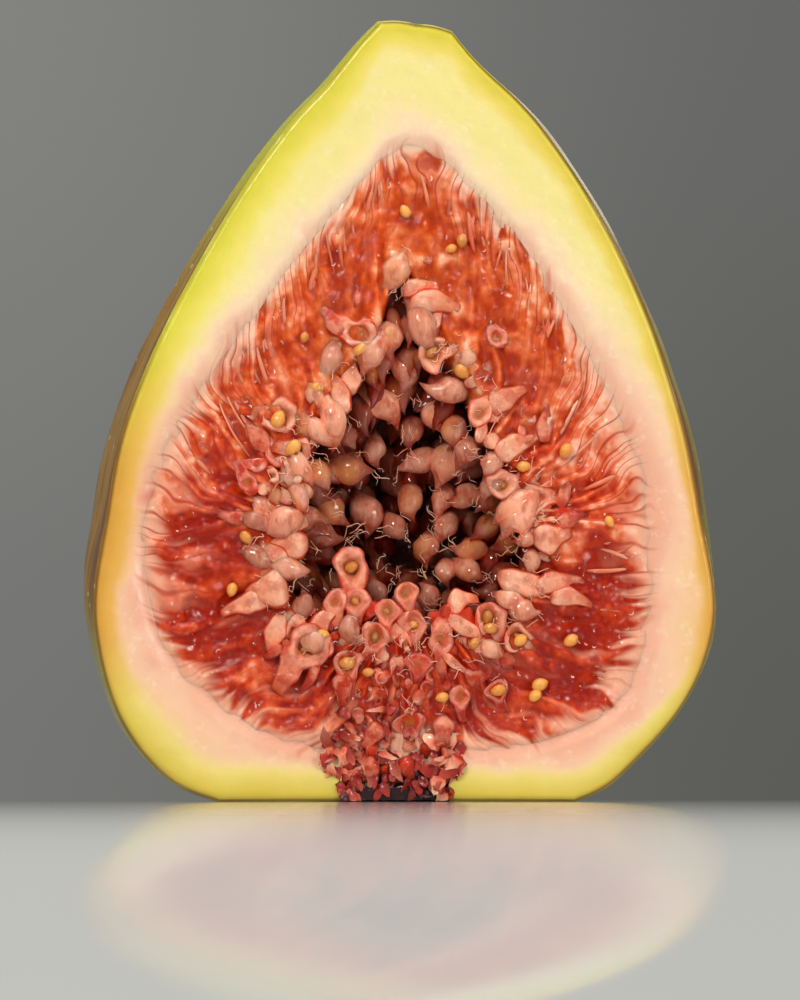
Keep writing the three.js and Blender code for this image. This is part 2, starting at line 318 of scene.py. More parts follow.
def strand_point(angle: Array, share: Array, out: Array = 0.0) -> Array:
    """The [x, z] point at a share of the way from the flesh to the hollow's rim along a strand.

    The angle falls by the sway times the share, and the distance from the heart goes evenly from
    the pulp's edge at the root's angle to the rim at the moved angle.
    """
    moved = angle - sway(angle) * share
    outer = CORE_RING.reach(angle) + out
    far = outer + (HOLLOW_RING.reach(moved) - outer) * share
    return np.stack([far * np.cos(moved), HEART_Z + far * np.sin(moved)], axis=-1)


def strand_heading(angle: Array, share: Array) -> Array:
    """The direction [x, z] in which a strand runs inwards at a share of its way."""
    return unit(strand_point(angle, share + 0.02) - strand_point(angle, share - 0.02))


def linear(colour: str) -> tuple[float, float, float, float]:
    """An sRGB hex value as linear red, green, blue and a full alpha."""
    channels = [int(colour[i : i + 2], 16) / 255 for i in (1, 3, 5)]
    turned = [c / 12.92 if c <= 0.04045 else ((c + 0.055) / 1.055) ** 2.4 for c in channels]
    return (*turned, 1.0)


class Step(Enum):
    """A kind of node: its type, the sockets that take its values, its settings and its result's socket."""

    TIMES = ("ShaderNodeMath", (0, 1), {"operation": "MULTIPLY"}, 0)
    PLUS = ("ShaderNodeMath", (0, 1), {"operation": "ADD"}, 0)
    LESS = ("ShaderNodeMath", (0, 1), {"operation": "SUBTRACT"}, 0)
    OVER = ("ShaderNodeMath", (0, 1), {"operation": "DIVIDE"}, 0)
    LARGER = ("ShaderNodeMath", (0, 1), {"operation": "MAXIMUM"}, 0)
    POWER = ("ShaderNodeMath", (0, 1), {"operation": "POWER"}, 0)
    SPAN = (
        "ShaderNodeMapRange",
        ("Value", "From Min", "From Max", "To Min", "To Max"),
        {"interpolation_type": "SMOOTHSTEP"},
        "Result",
    )
    MIX = ("ShaderNodeMix", (0, 6, 7), {"data_type": "RGBA"}, 2)
    RAMP = ("ShaderNodeValToRGB", (0, "stops"), {}, 0)
    OWN = ("ShaderNodeAttribute", (), {}, "Fac")
    PLACE = ("ShaderNodeTexCoord", (), {}, "Object")
    WAY = ("ShaderNodeTexCoord", (), {}, "Generated")
    SIDE = ("ShaderNodeSeparateXYZ", (0,), {}, "X")
    FRONT = ("ShaderNodeSeparateXYZ", (0,), {}, "Y")
    HEIGHT = ("ShaderNodeSeparateXYZ", (0,), {}, "Z")
    VECTOR = ("ShaderNodeCombineXYZ", (0, 1, 2), {}, 0)
    MOVED = ("ShaderNodeMapping", ("Vector", "Scale", "Location"), {}, 0)
    NOISE = ("ShaderNodeTexNoise", ("Vector", "Scale", "Detail"), {}, "Fac")
    DUST = ("ShaderNodeTexWhiteNoise", ("Vector",), {}, "Value")
    DOTS = ("ShaderNodeTexVoronoi", ("Vector", "Scale"), {}, "Distance")
    LINES = (
        "ShaderNodeTexVoronoi",
        ("W", "Scale"),
        {"voronoi_dimensions": "1D", "feature": "DISTANCE_TO_EDGE"},
        "Distance",
    )
    GRAZING = ("ShaderNodeLayerWeight", ("Blend",), {}, "Facing")
    BUMP = ("ShaderNodeBump", ("Height", "Distance", "Strength"), {}, 0)
    TISSUE = (
        "ShaderNodeBsdfPrincipled",
        (
            "Base Color", "Roughness", "IOR", "Subsurface Weight", "Subsurface Radius", "Subsurface Scale",
            "Coat Weight", "Coat Roughness", "Coat IOR", "Normal", "Coat Normal",
        ),
        {"subsurface_method": "BURLEY"},
        0,
    )
    MATT = ("ShaderNodeBsdfDiffuse", ("Color",), {}, 0)
    GLOSS = ("ShaderNodeBsdfGlossy", ("Color", "Roughness", "Normal"), {}, 0)
    BLEND = ("ShaderNodeMixShader", (0, 1, 2), {}, 0)
    GLOW = ("ShaderNodeBackground", ("Color", "Strength"), {}, 0)
    SURFACE = ("ShaderNodeOutputMaterial", ("Surface",), {}, None)
    WORLD = ("ShaderNodeOutputWorld", ("Surface",), {}, None)


def add(tree: Tree, step: Step, *values: object, **settings: object) -> Socket | None:
    """Adds a node with its settings and links.

    Args:
        tree: The tree that it goes in.
        step: The kind of node.
        values: What its sockets take, in order: numbers, hex colours, results of other nodes, and
            for a ramp its {place: hex} stops.
        settings: More of the node's own properties.

    Returns:
        Its result, if it has one.
    """
    kind, sockets, fixed, result = step.value
    node = tree.nodes.new(kind)
    for name, setting in {**fixed, **settings}.items():
        setattr(node, name, setting)
    for name, value in zip(sockets, values):
        if isinstance(value, Socket):
            tree.links.new(value, node.inputs[name])
        elif isinstance(value, dict):
            elements = node.color_ramp.elements
            while len(elements) < len(value):
                elements.new(0.5)
            for element, stop in zip(elements, sorted(value)):
                element.position = stop
            for element, stop in zip(elements, sorted(value)):
                element.color = linear(value[stop])
        else:
            node.inputs[name].default_value = linear(value) if isinstance(value, str) else value
    return None if result is None else node.outputs[result]


def emptied(owner: Material | bpy.types.World) -> Tree:
    """The node tree of a new material or world, with nothing in it."""
    owner.use_nodes = True
    owner.node_tree.nodes.clear()
    return owner.node_tree


def linked(name: str, data: bpy.types.ID) -> Piece:
    """A new object in the scene."""
    piece = bpy.data.objects.new(name, data)
    bpy.context.scene.collection.objects.link(piece)
    return piece


def mottle(
    tree: Tree, size_mm: float, detail: float = 2.0, stretch: tuple = (1, 1, 1), offset: float = 0.0
) -> Socket:
    """Soft noise with lumps of a real size, on Object coordinates."""
    moved = add(tree, Step.MOVED, add(tree, Step.PLACE), tuple(1 / s for s in stretch), (offset,) * 3)
    return add(tree, Step.NOISE, moved, 1 / (size_mm * MM), detail)


def streaks(
    tree: Tree, lane: Socket, inward: Socket, per_mm: float, along_per_mm: float, detail: float
) -> Socket:
    """Noise drawn out along the strands' lanes."""
    across, run = add(tree, Step.TIMES, lane, per_mm), add(tree, Step.TIMES, inward, along_per_mm)
    return add(tree, Step.NOISE, add(tree, Step.VECTOR, across, run), 1.0, detail)


def border(tree: Tree, lane: Socket, inward: Socket) -> Socket:
    """0 in the pale flesh and 1 in the red pulp, with streaks that run from one into the other."""
    coarse = streaks(tree, lane, inward, 0.36, 0.16, 1.0)
    fine = streaks(tree, lane, inward, 1.15, 0.28, 1.0)
    both = add(tree, Step.PLUS, add(tree, Step.TIMES, coarse, 0.4), add(tree, Step.TIMES, fine, 0.6))
    return add(tree, Step.SPAN, add(tree, Step.PLUS, both, add(tree, Step.TIMES, inward, 0.11)), 0.46, 0.68)


def pale_flesh(tree: Tree, to_pulp: Socket, height: Socket) -> Socket:
    """The flesh beside the pulp: pink at its edge, then cream, warmer low down and yellower high up."""
    wavy = add(tree, Step.PLUS, to_pulp, add(tree, Step.SPAN, mottle(tree, 4.0, 3.0), 0.3, 0.7, -0.7, 0.7))
    near = add(tree, Step.SPAN, wavy, 0.0, 5.5)
    upper = add(tree, Step.RAMP, near, {0.0: "#f3bfa2", 0.2: "#f8dab4", 0.45: "#f7e2a6", 0.8: "#f1e392"})
    lower = add(tree, Step.RAMP, near, {0.0: "#efac8e", 0.25: "#f5c2a2", 0.55: "#f6c8a0", 0.9: "#f2c48a"})
    return add(tree, Step.MIX, add(tree, Step.SPAN, height, 0.020, 0.040), lower, upper)


def creases(tree: Tree, lane: Socket, inward: Socket) -> Socket:
    """1 on the thin lines that part the strands, about 0.9 mm from each other, near the pale flesh."""
    lines = add(tree, Step.LINES, add(tree, Step.OVER, lane, 0.95), 1.0)
    some = add(tree, Step.SPAN, streaks(tree, lane, inward, 0.9, 0.25, 1.0), 0.28, 0.5)
    line = add(tree, Step.TIMES, add(tree, Step.SPAN, lines, 0.13, 0.02), some)
    fade = add(
        tree,
        Step.TIMES,
        add(tree, Step.SPAN, inward, -1.3, 0.6),
        add(tree, Step.SPAN, inward, 7.5, 3.0, 0.15, 1.0),
    )
    lower = add(tree, Step.SPAN, add(tree, Step.HEIGHT, add(tree, Step.PLACE)), 0.006, 0.022, 0.3, 1.0)
    return add(tree, Step.TIMES, add(tree, Step.TIMES, line, fade), lower)


@dataclass(frozen=True)
class Wet:
    """How a moist tissue takes light: a soft body below a film of juice."""

    roughness: float = 0.38
    scatter: float = 0.6  # share of the light that goes in and comes out again
    scatter_mm: float = 0.9  # how far the red part of it goes
    scatter_tint: tuple[float, float, float] = (1.0, 0.38, 0.22)
    film: float = 0.6  # weight of the juice's own gloss
    film_roughness: float = 0.08
    ior: float = 1.38
    bump_mm: float = 0.02

    def material(self, name: str, colour: Callable, bump: Callable | None = None) -> Material:
        """Makes the material.

        Args:
            name: Its name.
            colour: A function of the tree that gives the colour's socket.
            bump: A function of the tree that gives the height's socket, from 0 to 1.

        Returns:
            The material.
        """
        material = bpy.data.materials.new(name)
        tree = emptied(material)
        scatter = (self.scatter, self.scatter_tint, self.scatter_mm * MM)
        values = [colour(tree), self.roughness, self.ior, *scatter, self.film, self.film_roughness, FILM_IOR]
        if bump is not None:
            values += [add(tree, Step.BUMP, bump(tree), self.bump_mm * MM, 1.0)] * 2
        add(tree, Step.SURFACE, add(tree, Step.TISSUE, *values))
        return material


class Surface:
    """Batches of points and faces, with a value a point for each name, made into one piece."""

    def __init__(self) -> None:
        """Starts empty."""
        self.points: list[Array] = []
        self.quads: list[Array] = []
        self.triangles: list[Array] = []
        self.values: list[tuple[int, dict[str, Array]]] = []
        self.count = 0

    def add(self, points: Array, quads: Array, triangles: Array | None = None, **values: Array) -> None:
        """Adds a batch. Face numbers count from the batch's own first point."""
        self.points.append(points.reshape(-1, 3))
        self.quads.append(quads.reshape(-1, 4) + self.count)
        if triangles is not None:
            self.triangles.append(triangles.reshape(-1, 3) + self.count)
        size = points.size // 3
        flat = {k: np.broadcast_to(v, points.shape[:-1]).reshape(-1) for k, v in values.items()}
        self.values.append((size, flat))
        self.count += size

    def made(self, name: str, material: Material, nodes: list[str]) -> Piece:
        """Makes the piece, in metres and at the origin, and tells the frame what it is."""
        points = np.concatenate(self.points) * MM
        quads = np.concatenate(self.quads)
        threes = np.concatenate(self.triangles) if self.triangles else np.zeros((0, 3), int)
        mesh = bpy.data.meshes.new(name)
        mesh.vertices.add(len(points))
        mesh.vertices.foreach_set("co", points.astype(np.float32).ravel())
        corners = np.concatenate([quads.ravel(), threes.ravel()])
        mesh.loops.add(len(corners))
        mesh.loops.foreach_set("vertex_index", corners.astype(np.int32))
        starts = np.concatenate([np.arange(len(quads)) * 4, quads.size + np.arange(len(threes)) * 3])
        mesh.polygons.add(len(starts))
        mesh.polygons.foreach_set("loop_start", starts.astype(np.int32))
        mesh.polygons.foreach_set("use_smooth", np.ones(len(starts), bool))
        for key in sorted({k for _, flat in self.values for k in flat}):
            whole = [flat.get(key, np.zeros(size)) for size, flat in self.values]
            layer = mesh.attributes.new(key, "FLOAT", "POINT")
            layer.data.foreach_set("value", np.concatenate(whole).astype(np.float32))
        mesh.update(calc_edges=True)
        mesh.validate()
        mesh.materials.append(material)
        piece = linked(name, mesh)
        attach(piece, "root")
        if nodes:
            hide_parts(*nodes)
        faces = 2 * len(quads) + len(threes)
        log.info("%s: %d triangles", name, faces)
        return piece


def grid_quads(rows: int, columns: int, closed: bool = False, flip: bool = False) -> Array:
    """The quads of a grid of points in rows, with its last column joined to its first if closed."""
    i, j = np.meshgrid(np.arange(rows - 1), np.arange(columns if closed else columns - 1), indexing="ij")
    a, b = i * columns + j, i * columns + (j + 1) % columns
    quads = np.stack([a, b, b + columns, a + columns], axis=-1).reshape(-1, 4)
    return quads[:, ::-1] if flip else quads


def tubes(
    spine: Array, radius: Array, sides: int, flat: Array | float = 1.0, side: Array | None = None
) -> tuple[Array, ...]:
    """Closed round bodies along many paths at once.

    Round each point of a path stands a ring: the path's radius there times the cosine of the turn
    along one cross direction, plus the sine along the other. The cross directions are carried along
    the path without twist. The first and the last point close the ends.

    Args:
        spine: (bodies, steps, 3) points.
        radius: (bodies, steps) radii; the first and last are not used.
        sides: Points in a ring.
        flat: The second cross direction's share of the radius.
        side: (bodies, 3) first cross directions at the root, if they matter.

    Returns:
        Points (bodies, n, 3), quads and triangles for all of them, and each point's share along its
        path and its turn.
    """
    bodies, steps, _ = spine.shape
    forward = unit(np.gradient(spine, axis=1))
    start = forward[:, 0]
    if side is None:
        upright = np.abs(start[:, 2:3]) > 0.8
        side = np.cross(start, np.where(upright, [[1.0, 0, 0]], [[0, 0, 1.0]]))
    across = np.zeros_like(spine)
    held = side
    for i in range(steps):
        held = unit(held - np.sum(held * forward[:, i], axis=1, keepdims=True) * forward[:, i])
        across[:, i] = held
    over = np.cross(forward, across)
    turn = 2 * math.pi * np.arange(sides) / sides
    flat = np.broadcast_to(np.asarray(flat, float).reshape(-1, 1, 1, 1), (bodies, 1, 1, 1))
    cosine, sine = np.cos(turn)[:, None], np.sin(turn)[:, None]
    ring = cosine * across[:, 1:-1, None] + flat * sine * over[:, 1:-1, None]
    rings = spine[:, 1:-1, None] + radius[:, 1:-1, None, None] * ring
    body = rings.reshape(bodies, -1, 3)
    points = np.concatenate([body, spine[:, :1], spine[:, -1:]], axis=1)
    each = points.shape[1]
    inner = steps - 2
    quads = grid_quads(inner, sides, closed=True)
    j = np.arange(sides)
    nxt = (j + 1) % sides
    last = (inner - 1) * sides
    first_fan = np.stack([np.full(sides, each - 2), nxt, j], axis=1)
    last_fan = np.stack([np.full(sides, each - 1), last + j, last + nxt], axis=1)
    fans = np.concatenate([first_fan, last_fan])
    shift = np.arange(bodies)[:, None, None] * each
    share = np.linspace(0, 1, steps)
    along = np.concatenate([np.repeat(share[1:-1], sides), [0, 1]])
    turns = np.concatenate([np.tile(turn, inner), [0, 0]])
    shape = (bodies, each)
    return (
        points,
        quads[None] + shift,
        fans[None] + shift,
        np.broadcast_to(along, shape),
        np.broadcast_to(turns, shape),
    )


def bowed(start: Array, through: Array, end: Array, steps: int) -> Array:
    """Quadratic Bezier paths: (1-t) squared of start, 2t(1-t) of through and t squared of end."""
    t = np.linspace(0, 1, steps)[None, :, None]
    return (1 - t) ** 2 * start[:, None] + 2 * t * (1 - t) * through[:, None] + t**2 * end[:, None]


def swelling(pairs: tuple[tuple[float, float], ...], steps: int) -> Array:
    """A radius for each step of a path, as a smooth curve through (share along, share of radius)."""
    curve = spline(np.array(pairs, float), 80)
    where = np.maximum.accumulate(curve[:, 0])
    return np.maximum(np.interp(np.linspace(0, 1, steps), where, curve[:, 1]), 0)


def edge_dip(flat: Array, to_pulp: Array) -> Array:
    """How deep the flesh's cut face lies: slow noise, and a dip of 0.3 mm towards the pulp's edge."""
    relief = 0.05 * noise(flat, 2.6, 7) + 0.02 * noise(flat, 0.7, 9)
    return relief + 0.3 * (1 - smoothstep(0, 1.3, to_pulp))


@dataclass
class Rind:
    """The skin with the pale flesh that the knife laid bare, and the bore of the eye."""

    side_rows: int = 300
    columns: int = 131
    neck_rows: int = 7
    base_rows: int = 22
    bore_rows: int = 8
    face_steps: int = 44
    cavity_rings: int = 6
    cavity_start: float = 1.8  # how far behind the knife's plane the pulp's room begins
    cavity_depth: float = 21.5
    rib_height: float = 0.16
    ribs: int = 20

    def arc(self, radius: Array, z: Array) -> Array:
        """The turn of each column: from the knife's plane on the right, round the back, to the left."""
        short = (middle_y(z) - CUT_Y - EDGE) / (depth_ratio(z) * radius)
        start = np.arcsin(np.clip(short, -1, 1))[:, None]
        u = np.linspace(0, 1, self.columns)[None]
        return -start + u * (math.pi + 2 * start)

    def skin(self) -> Array:
        """The outside, row by row from the neck's end to the top of the eye's bore.

        A row at height z is an arc of the ellipse with the skin's radius, its depth ratio and its
        drift, raised by low ribs, broad swells and small dents that fade out at the knife's plane.
        """
        profile = evenly(SKIN.points, self.side_rows)[::-1]
        radius, z = profile[:, :1], profile[:, 1:]
        turn = self.arc(profile[:, 0], profile[:, 1])
        u = np.linspace(0, 1, self.columns)[None]
        fade = smoothstep(0, 0.035, np.minimum(u, 1 - u))
        rib = np.cos(self.ribs * turn + 1.2 * np.sin(3 * turn + z * 0.05))
        rough = np.stack([turn * 14 + 0 * z, z + 0 * turn, 0 * turn + 0 * z], axis=-1)
        swell = 0.22 * noise(rough, 5.5, 3) + 0.07 * noise(rough * [1, 0.45, 1], 1.6, 5)
        high = smoothstep(0, 8, z) * smoothstep(-57, -45, -z)
        ribbed = radius + fade * (self.rib_height * high * rib + swell * smoothstep(0, 4, z))
        x = SKIN_DRIFT(z) + ribbed * np.cos(turn)
        y = middle_y(z) + depth_ratio(z) * ribbed * np.sin(turn)
        fall = NECK_TILT * x * smoothstep(52, 57, z)
        side = np.stack([x, y, z - fall], axis=-1)
        k = np.linspace(0, 1, self.neck_rows + 1)[1:-1, None, None]
        dome = np.array([0, 0, 0.14]) * np.sin(math.pi * k)
        neck = NECK_END + (side[:1] - NECK_END) * k + dome
        eye_turn = math.asin((EYE_Y - CUT_Y - EDGE) / EYE_RADIUS)
        eye = -eye_turn + np.linspace(0, 1, self.columns) * (math.pi + 2 * eye_turn)
        ring = np.stack([np.cos(eye), np.sin(eye), 0 * eye], axis=-1)
        eye_middle = np.array([EYE_X, EYE_Y, 0])
        k = np.linspace(0, 1, self.base_rows + 1)[1:, None, None]
        base = side[-1:] + (eye_middle + EYE_RADIUS * ring - side[-1:]) * k
        base[..., 2] = 0.0
        rise = np.linspace(0, 4.3, self.bore_rows + 1)[1:, None, None]
        wide = EYE_RADIUS + 0.35 * smoothstep(1.5, 5.0, rise)
        bore = eye_middle + wide * ring + rise * np.array([0, 0, 1.0])
        bore[:, 0, 1] = bore[:, -1, 1] = CUT_Y + EDGE
        return np.concatenate([neck, side, base, bore])

    def cavity(self, edge: Array) -> Array:
        """The wall of the room that the pulp fills: a dome behind the core's line on the cut face.

        Its distance from the heart is the line's times the cosine of the turn, and its depth a
        fixed one times the sine.

        Args:
            edge: The line's [x, z] points.

        Returns:
            Points, ring by ring.
        """
        h = np.linspace(0, math.pi / 2, self.cavity_rings + 2)[1:-1]
        away = (edge - np.array([0, HEART_Z]))[:, None] * (0.99 * np.cos(h))[None, :, None]
        depth = np.broadcast_to(CUT_Y + self.cavity_start + self.cavity_depth * np.sin(h), away.shape[:2])
        return np.stack([away[..., 0], depth, HEART_Z + away[..., 1]], axis=-1)

    def build(self) -> Piece:
        """Joins the skin to the cut face along the knife's edge, and dresses both."""
        skin = self.skin()
        rows, columns, _ = skin.shape
        ids = np.arange(rows * columns).reshape(rows, columns)
        pole = rows * columns
        loop_ids = np.concatenate([ids[::-1, 0], [pole], ids[:, -1]])
        flat_points = np.concatenate([skin.reshape(-1, 3), NECK_END[None]])
        outer = flat_points[loop_ids]
        angle = np.arctan2(outer[:, 2] - HEART_Z, outer[:, 0])
        angle = np.where(angle < -math.pi / 2 - 1e-6, angle + 2 * math.pi, angle)
        half = len(angle) // 2
        right = np.maximum.accumulate(angle[: half + 1])
        left = np.minimum.accumulate(angle[half:][::-1])[::-1]
        angle = np.concatenate([right, left[1:]])
        inner = CORE_RING.point(angle)
        outer_xz = outer[:, [0, 2]]
        t = np.linspace(0, 1, self.face_steps)[None, 1:, None]
        t = t**1.15
        plane = outer_xz[:, None] + (inner - outer_xz)[:, None] * t
        under = np.minimum(np.linalg.norm(plane - outer_xz[:, None], axis=-1), plane[..., 1] + 0.05)
        to_pulp = np.linalg.norm(plane - inner[:, None], axis=-1)
        place = np.stack([plane[..., 0], 0 * plane[..., 0], plane[..., 1]], axis=-1)
        sunk = edge_dip(place, to_pulp) + EDGE * (1 - smoothstep(0, 0.5, under))
        face = np.stack([plane[..., 0], CUT_Y + sunk, plane[..., 1]], axis=-1)
        inward = unit(np.array([0, HEART_Z]) - inner)
        tucks = []
        for far, deep in ((0.35, 0.55), (0.7, 1.0), (0.9, 1.8)):
            moved = inner + inward * far
            tucks.append(np.stack([moved[:, 0], np.full(len(inner), CUT_Y + deep), moved[:, 1]], axis=-1))
        tuck = np.stack(tucks, axis=1)
        face = np.concatenate([face, tuck, self.cavity(inner)], axis=1)
        steps = face.shape[1]
        face_ids = pole + 1 + np.arange(len(inner) * steps).reshape(len(inner), steps)
        all_ids = np.concatenate([loop_ids[:, None], face_ids], axis=1)
        quads = [grid_quads(rows, columns, flip=True)]
        a, b = all_ids[:, :-1], np.roll(all_ids, -1, axis=0)[:, :-1]
        c, d = np.roll(all_ids, -1, axis=0)[:, 1:], all_ids[:, 1:]
        quads.append(np.stack([a, b, c, d], axis=-1).reshape(-1, 4))
        points = np.concatenate([flat_points, face.reshape(-1, 3)])
        roof, deep = len(points), len(points) + 1
        last, inmost = ids[-1], face_ids[:, -1]
        fan = np.concatenate(
            [
                np.stack([np.full(columns - 1, pole), ids[0, 1:], ids[0, :-1]], axis=1),
                np.stack([np.full(columns, roof), last, np.roll(last, -1)], axis=1),
                np.stack([np.full(len(inner), deep), inmost, np.roll(inmost, -1)], axis=1),
            ]
        )
        ends = [[EYE_X, EYE_Y, 4.6], [0, CUT_Y + self.cavity_start + self.cavity_depth, HEART_Z]]
        points = np.concatenate([points, ends])
        pad = np.zeros((len(inner), 3 + self.cavity_rings))
        face_values = {
            "under": np.concatenate([under, pad + 9], axis=1),
            "to_pulp": np.concatenate([to_pulp, pad], axis=1),
            "lane": bent(lane_of(face[..., 0], face[..., 2]), face[..., 0], face[..., 2]),
            "on_face": np.ones(face.shape[:2]),
        }
        u = np.broadcast_to(np.linspace(0, 1, columns), (rows, columns)).reshape(-1)
        skin_values = {"under": 0 * u, "to_pulp": 0 * u + 9, "lane": 0 * u, "on_face": 0 * u}
        surface = Surface()
        values = {
            k: np.concatenate([skin_values[k], [skin_values[k][0]], face_values[k].reshape(-1), [0, 0]])
            for k in face_values
        }
        around = np.concatenate([u, [0.5], np.zeros(face.size // 3 + 2)])
        surface.add(points, np.concatenate(quads), fan, around=around, **values)
        return surface.made("rind_skin_and_flesh", self.finish(), ["rind"])

    def finish(self) -> Material:
        """Waxy fig skin outside, and moist flesh inside that goes from green through cream to pink."""
        wet = Wet(roughness=0.42, scatter=0.55, scatter_mm=1.1, film=0.35, film_roughness=0.16, bump_mm=0.05)
        return wet.material("fig_skin_and_flesh", self.colour, self.bump)

    def colour(self, tree: Tree) -> Socket:
        """The flesh by its depth under the skin and its distance from the pulp, and the skin outside."""
        names = ("under", "to_pulp", "lane", "on_face")
        under, to_pulp, lane, on_face = (add(tree, Step.OWN, attribute_name=k) for k in names)
        place = add(tree, Step.PLACE)
        height, left = add(tree, Step.HEIGHT, place), add(tree, Step.SIDE, place)
        cloud = mottle(tree, 4.0, 3.0)
        fine = mottle(tree, 0.7, 3.0)
        flesh = pale_flesh(tree, to_pulp, height)
        fleck = add(tree, Step.SPAN, fine, 0.55, 0.75)
        flesh = add(tree, Step.MIX, add(tree, Step.TIMES, fleck, 0.25), flesh, "#fff3d6")
        # The green layer under the skin: thick and vivid at the neck, thin and yellow at the sides.
        wide = add(tree, Step.SPAN, left, -0.014, 0.010, 1.45, 0.8)
        broad = add(tree, Step.TIMES, add(tree, Step.SPAN, height, 0.018, 0.050, 1.6, 3.3), wide)
        low_broad = add(tree, Step.SPAN, height, 0.0, 0.012, 1.6, 0.0)
        reach = add(tree, Step.PLUS, broad, low_broad)
        uneven = add(tree, Step.TIMES, reach, add(tree, Step.SPAN, cloud, 0.2, 0.8, 0.75, 1.25))
        share = add(tree, Step.OVER, under, uneven)
        side = add(tree, Step.SPAN, left, -0.02, 0.02)
        green_left = add(
            tree, Step.RAMP, share, {0.0: "#b4b02a", 0.15: "#dcd43c", 0.5: "#eedf62", 1.0: "#f7ea9c"}
        )
        green_right = add(
            tree, Step.RAMP, share, {0.0: "#b7a52a", 0.15: "#d8c23c", 0.5: "#ebd25c", 1.0: "#f5e08e"}
        )
        green = add(tree, Step.MIX, side, green_left, green_right)
        yellow = add(
            tree, Step.RAMP, share, {0.0: "#a87c22", 0.15: "#d39a35", 0.5: "#e4ab4a", 1.0: "#efbd74"}
        )
        green = add(tree, Step.MIX, add(tree, Step.SPAN, height, 0.022, 0.036), yellow, green)
        base_green = add(
            tree, Step.RAMP, share, {0.0: "#b7a030", 0.2: "#d9c04a", 0.6: "#ecd675", 1.0: "#f4dea0"}
        )
        green = add(tree, Step.MIX, add(tree, Step.SPAN, height, 0.013, 0.006), green, base_green)
        flesh = add(tree, Step.MIX, add(tree, Step.SPAN, share, 1.15, 0.55), flesh, green)
        skin_line = add(tree, Step.SPAN, under, 0.34, 0.12)
        shown = add(
            tree,
            Step.LARGER,
            add(tree, Step.SPAN, left, -0.010, 0.004),
            add(tree, Step.SPAN, height, 0.036, 0.026),
        )
        shown = add(tree, Step.SPAN, shown, 0.0, 1.0, 0.2, 0.85)
        flesh = add(tree, Step.MIX, add(tree, Step.TIMES, skin_line, shown), flesh, "#6e4a1c")
        outward = add(tree, Step.TIMES, to_pulp, -1.0)
        red = add(tree, Step.MIX, add(tree, Step.SPAN, fine, 0.3, 0.7), "#e07c5a", "#d05838")
        flesh = add(tree, Step.MIX, add(tree, Step.TIMES, border(tree, lane, outward), 0.9), flesh, red)
        flesh = add(
            tree, Step.MIX, add(tree, Step.TIMES, creases(tree, lane, outward), 0.7), flesh, "#cc5438"
        )
        return add(tree, Step.MIX, on_face, self.skin_colour(tree, height), flesh)

    def skin_colour(self, tree: Tree, height: Socket) -> Socket:
        """Green-yellow skin with a brown blush in long streaks, and small pale pores."""
        around = add(tree, Step.OWN, attribute_name="around")
        lanes = add(
            tree, Step.VECTOR, add(tree, Step.TIMES, around, 34.0), add(tree, Step.TIMES, height, 55.0)
        )
        streak = add(tree, Step.NOISE, lanes, 1.0, 4.0)
        lanes = add(
            tree, Step.VECTOR, add(tree, Step.TIMES, around, 150.0), add(tree, Step.TIMES, height, 140.0)
        )
        thin = add(tree, Step.NOISE, lanes, 1.0, 3.0)
        cloud = mottle(tree, 9.0, 3.0, offset=0.3)
        base = add(
            tree,
            Step.RAMP,
            add(tree, Step.SPAN, height, 0.0, 0.057),
            {0.0: "#8c8a33", 0.25: "#9a8f2e", 0.6: "#a8a02c", 0.8: "#b4b42e", 1.0: "#bfbf3a"},
        )
        blush = add(
            tree, Step.TIMES, add(tree, Step.SPAN, streak, 0.42, 0.66), add(tree, Step.SPAN, cloud, 0.3, 0.62)
        )
        blush = add(tree, Step.TIMES, blush, add(tree, Step.SPAN, height, 0.057, 0.036, 0.15, 1.0))
        skin = add(tree, Step.MIX, add(tree, Step.TIMES, blush, 0.85), base, "#7a4420")
        deep = add(tree, Step.TIMES, blush, add(tree, Step.SPAN, thin, 0.5, 0.72))
        skin = add(tree, Step.MIX, add(tree, Step.TIMES, deep, 0.8), skin, "#4b2029")
        beside = add(
            tree,
            Step.TIMES,
            add(tree, Step.SPAN, around, 0.86, 0.95),
            add(tree, Step.SPAN, height, 0.010, 0.018),
        )
        beside = add(tree, Step.TIMES, beside, add(tree, Step.SPAN, height, 0.050, 0.036))
        ochre = add(tree, Step.MIX, add(tree, Step.SPAN, thin, 0.4, 0.65), "#a4702a", "#7c4a22")
        skin = add(tree, Step.MIX, add(tree, Step.TIMES, beside, 0.8), skin, ochre)
        right = add(
            tree,
            Step.TIMES,
            add(tree, Step.SPAN, around, 0.05, 0.015),
            add(tree, Step.SPAN, height, 0.016, 0.024),
        )
        right = add(tree, Step.TIMES, right, add(tree, Step.SPAN, height, 0.055, 0.050))
        skin = add(tree, Step.MIX, add(tree, Step.TIMES, right, 0.85), skin, "#7c3f1c")
        line = add(
            tree,
            Step.TIMES,
            add(tree, Step.SPAN, around, 0.982, 0.994),
            add(tree, Step.SPAN, streak, 0.35, 0.6),
        )
        skin = add(tree, Step.MIX, add(tree, Step.TIMES, line, beside), skin, "#5c2a2a")
        pores = add(tree, Step.DOTS, add(tree, Step.PLACE), 1 / (1.9 * MM))
        dot = add(tree, Step.SPAN, pores, 0.13, 0.07)
        return add(tree, Step.MIX, add(tree, Step.TIMES, dot, 0.55), skin, "#d9cf8e")

    def bump(self, tree: Tree) -> Socket:
        """The knife's faint drag on the flesh, and the skin's fine grain."""
        grain = mottle(tree, 0.45, 3.0)
        broad = mottle(tree, 2.2, 2.0)
        return add(tree, Step.PLUS, add(tree, Step.TIMES, grain, 0.45), add(tree, Step.TIMES, broad, 0.8))


def band_width(angle: Array) -> Array:
    """The pulp band's width from the flesh to the hollow's rim, along the strand with a root's angle."""
    return CORE_RING.reach(angle) - HOLLOW_RING.reach(angle - sway(angle))


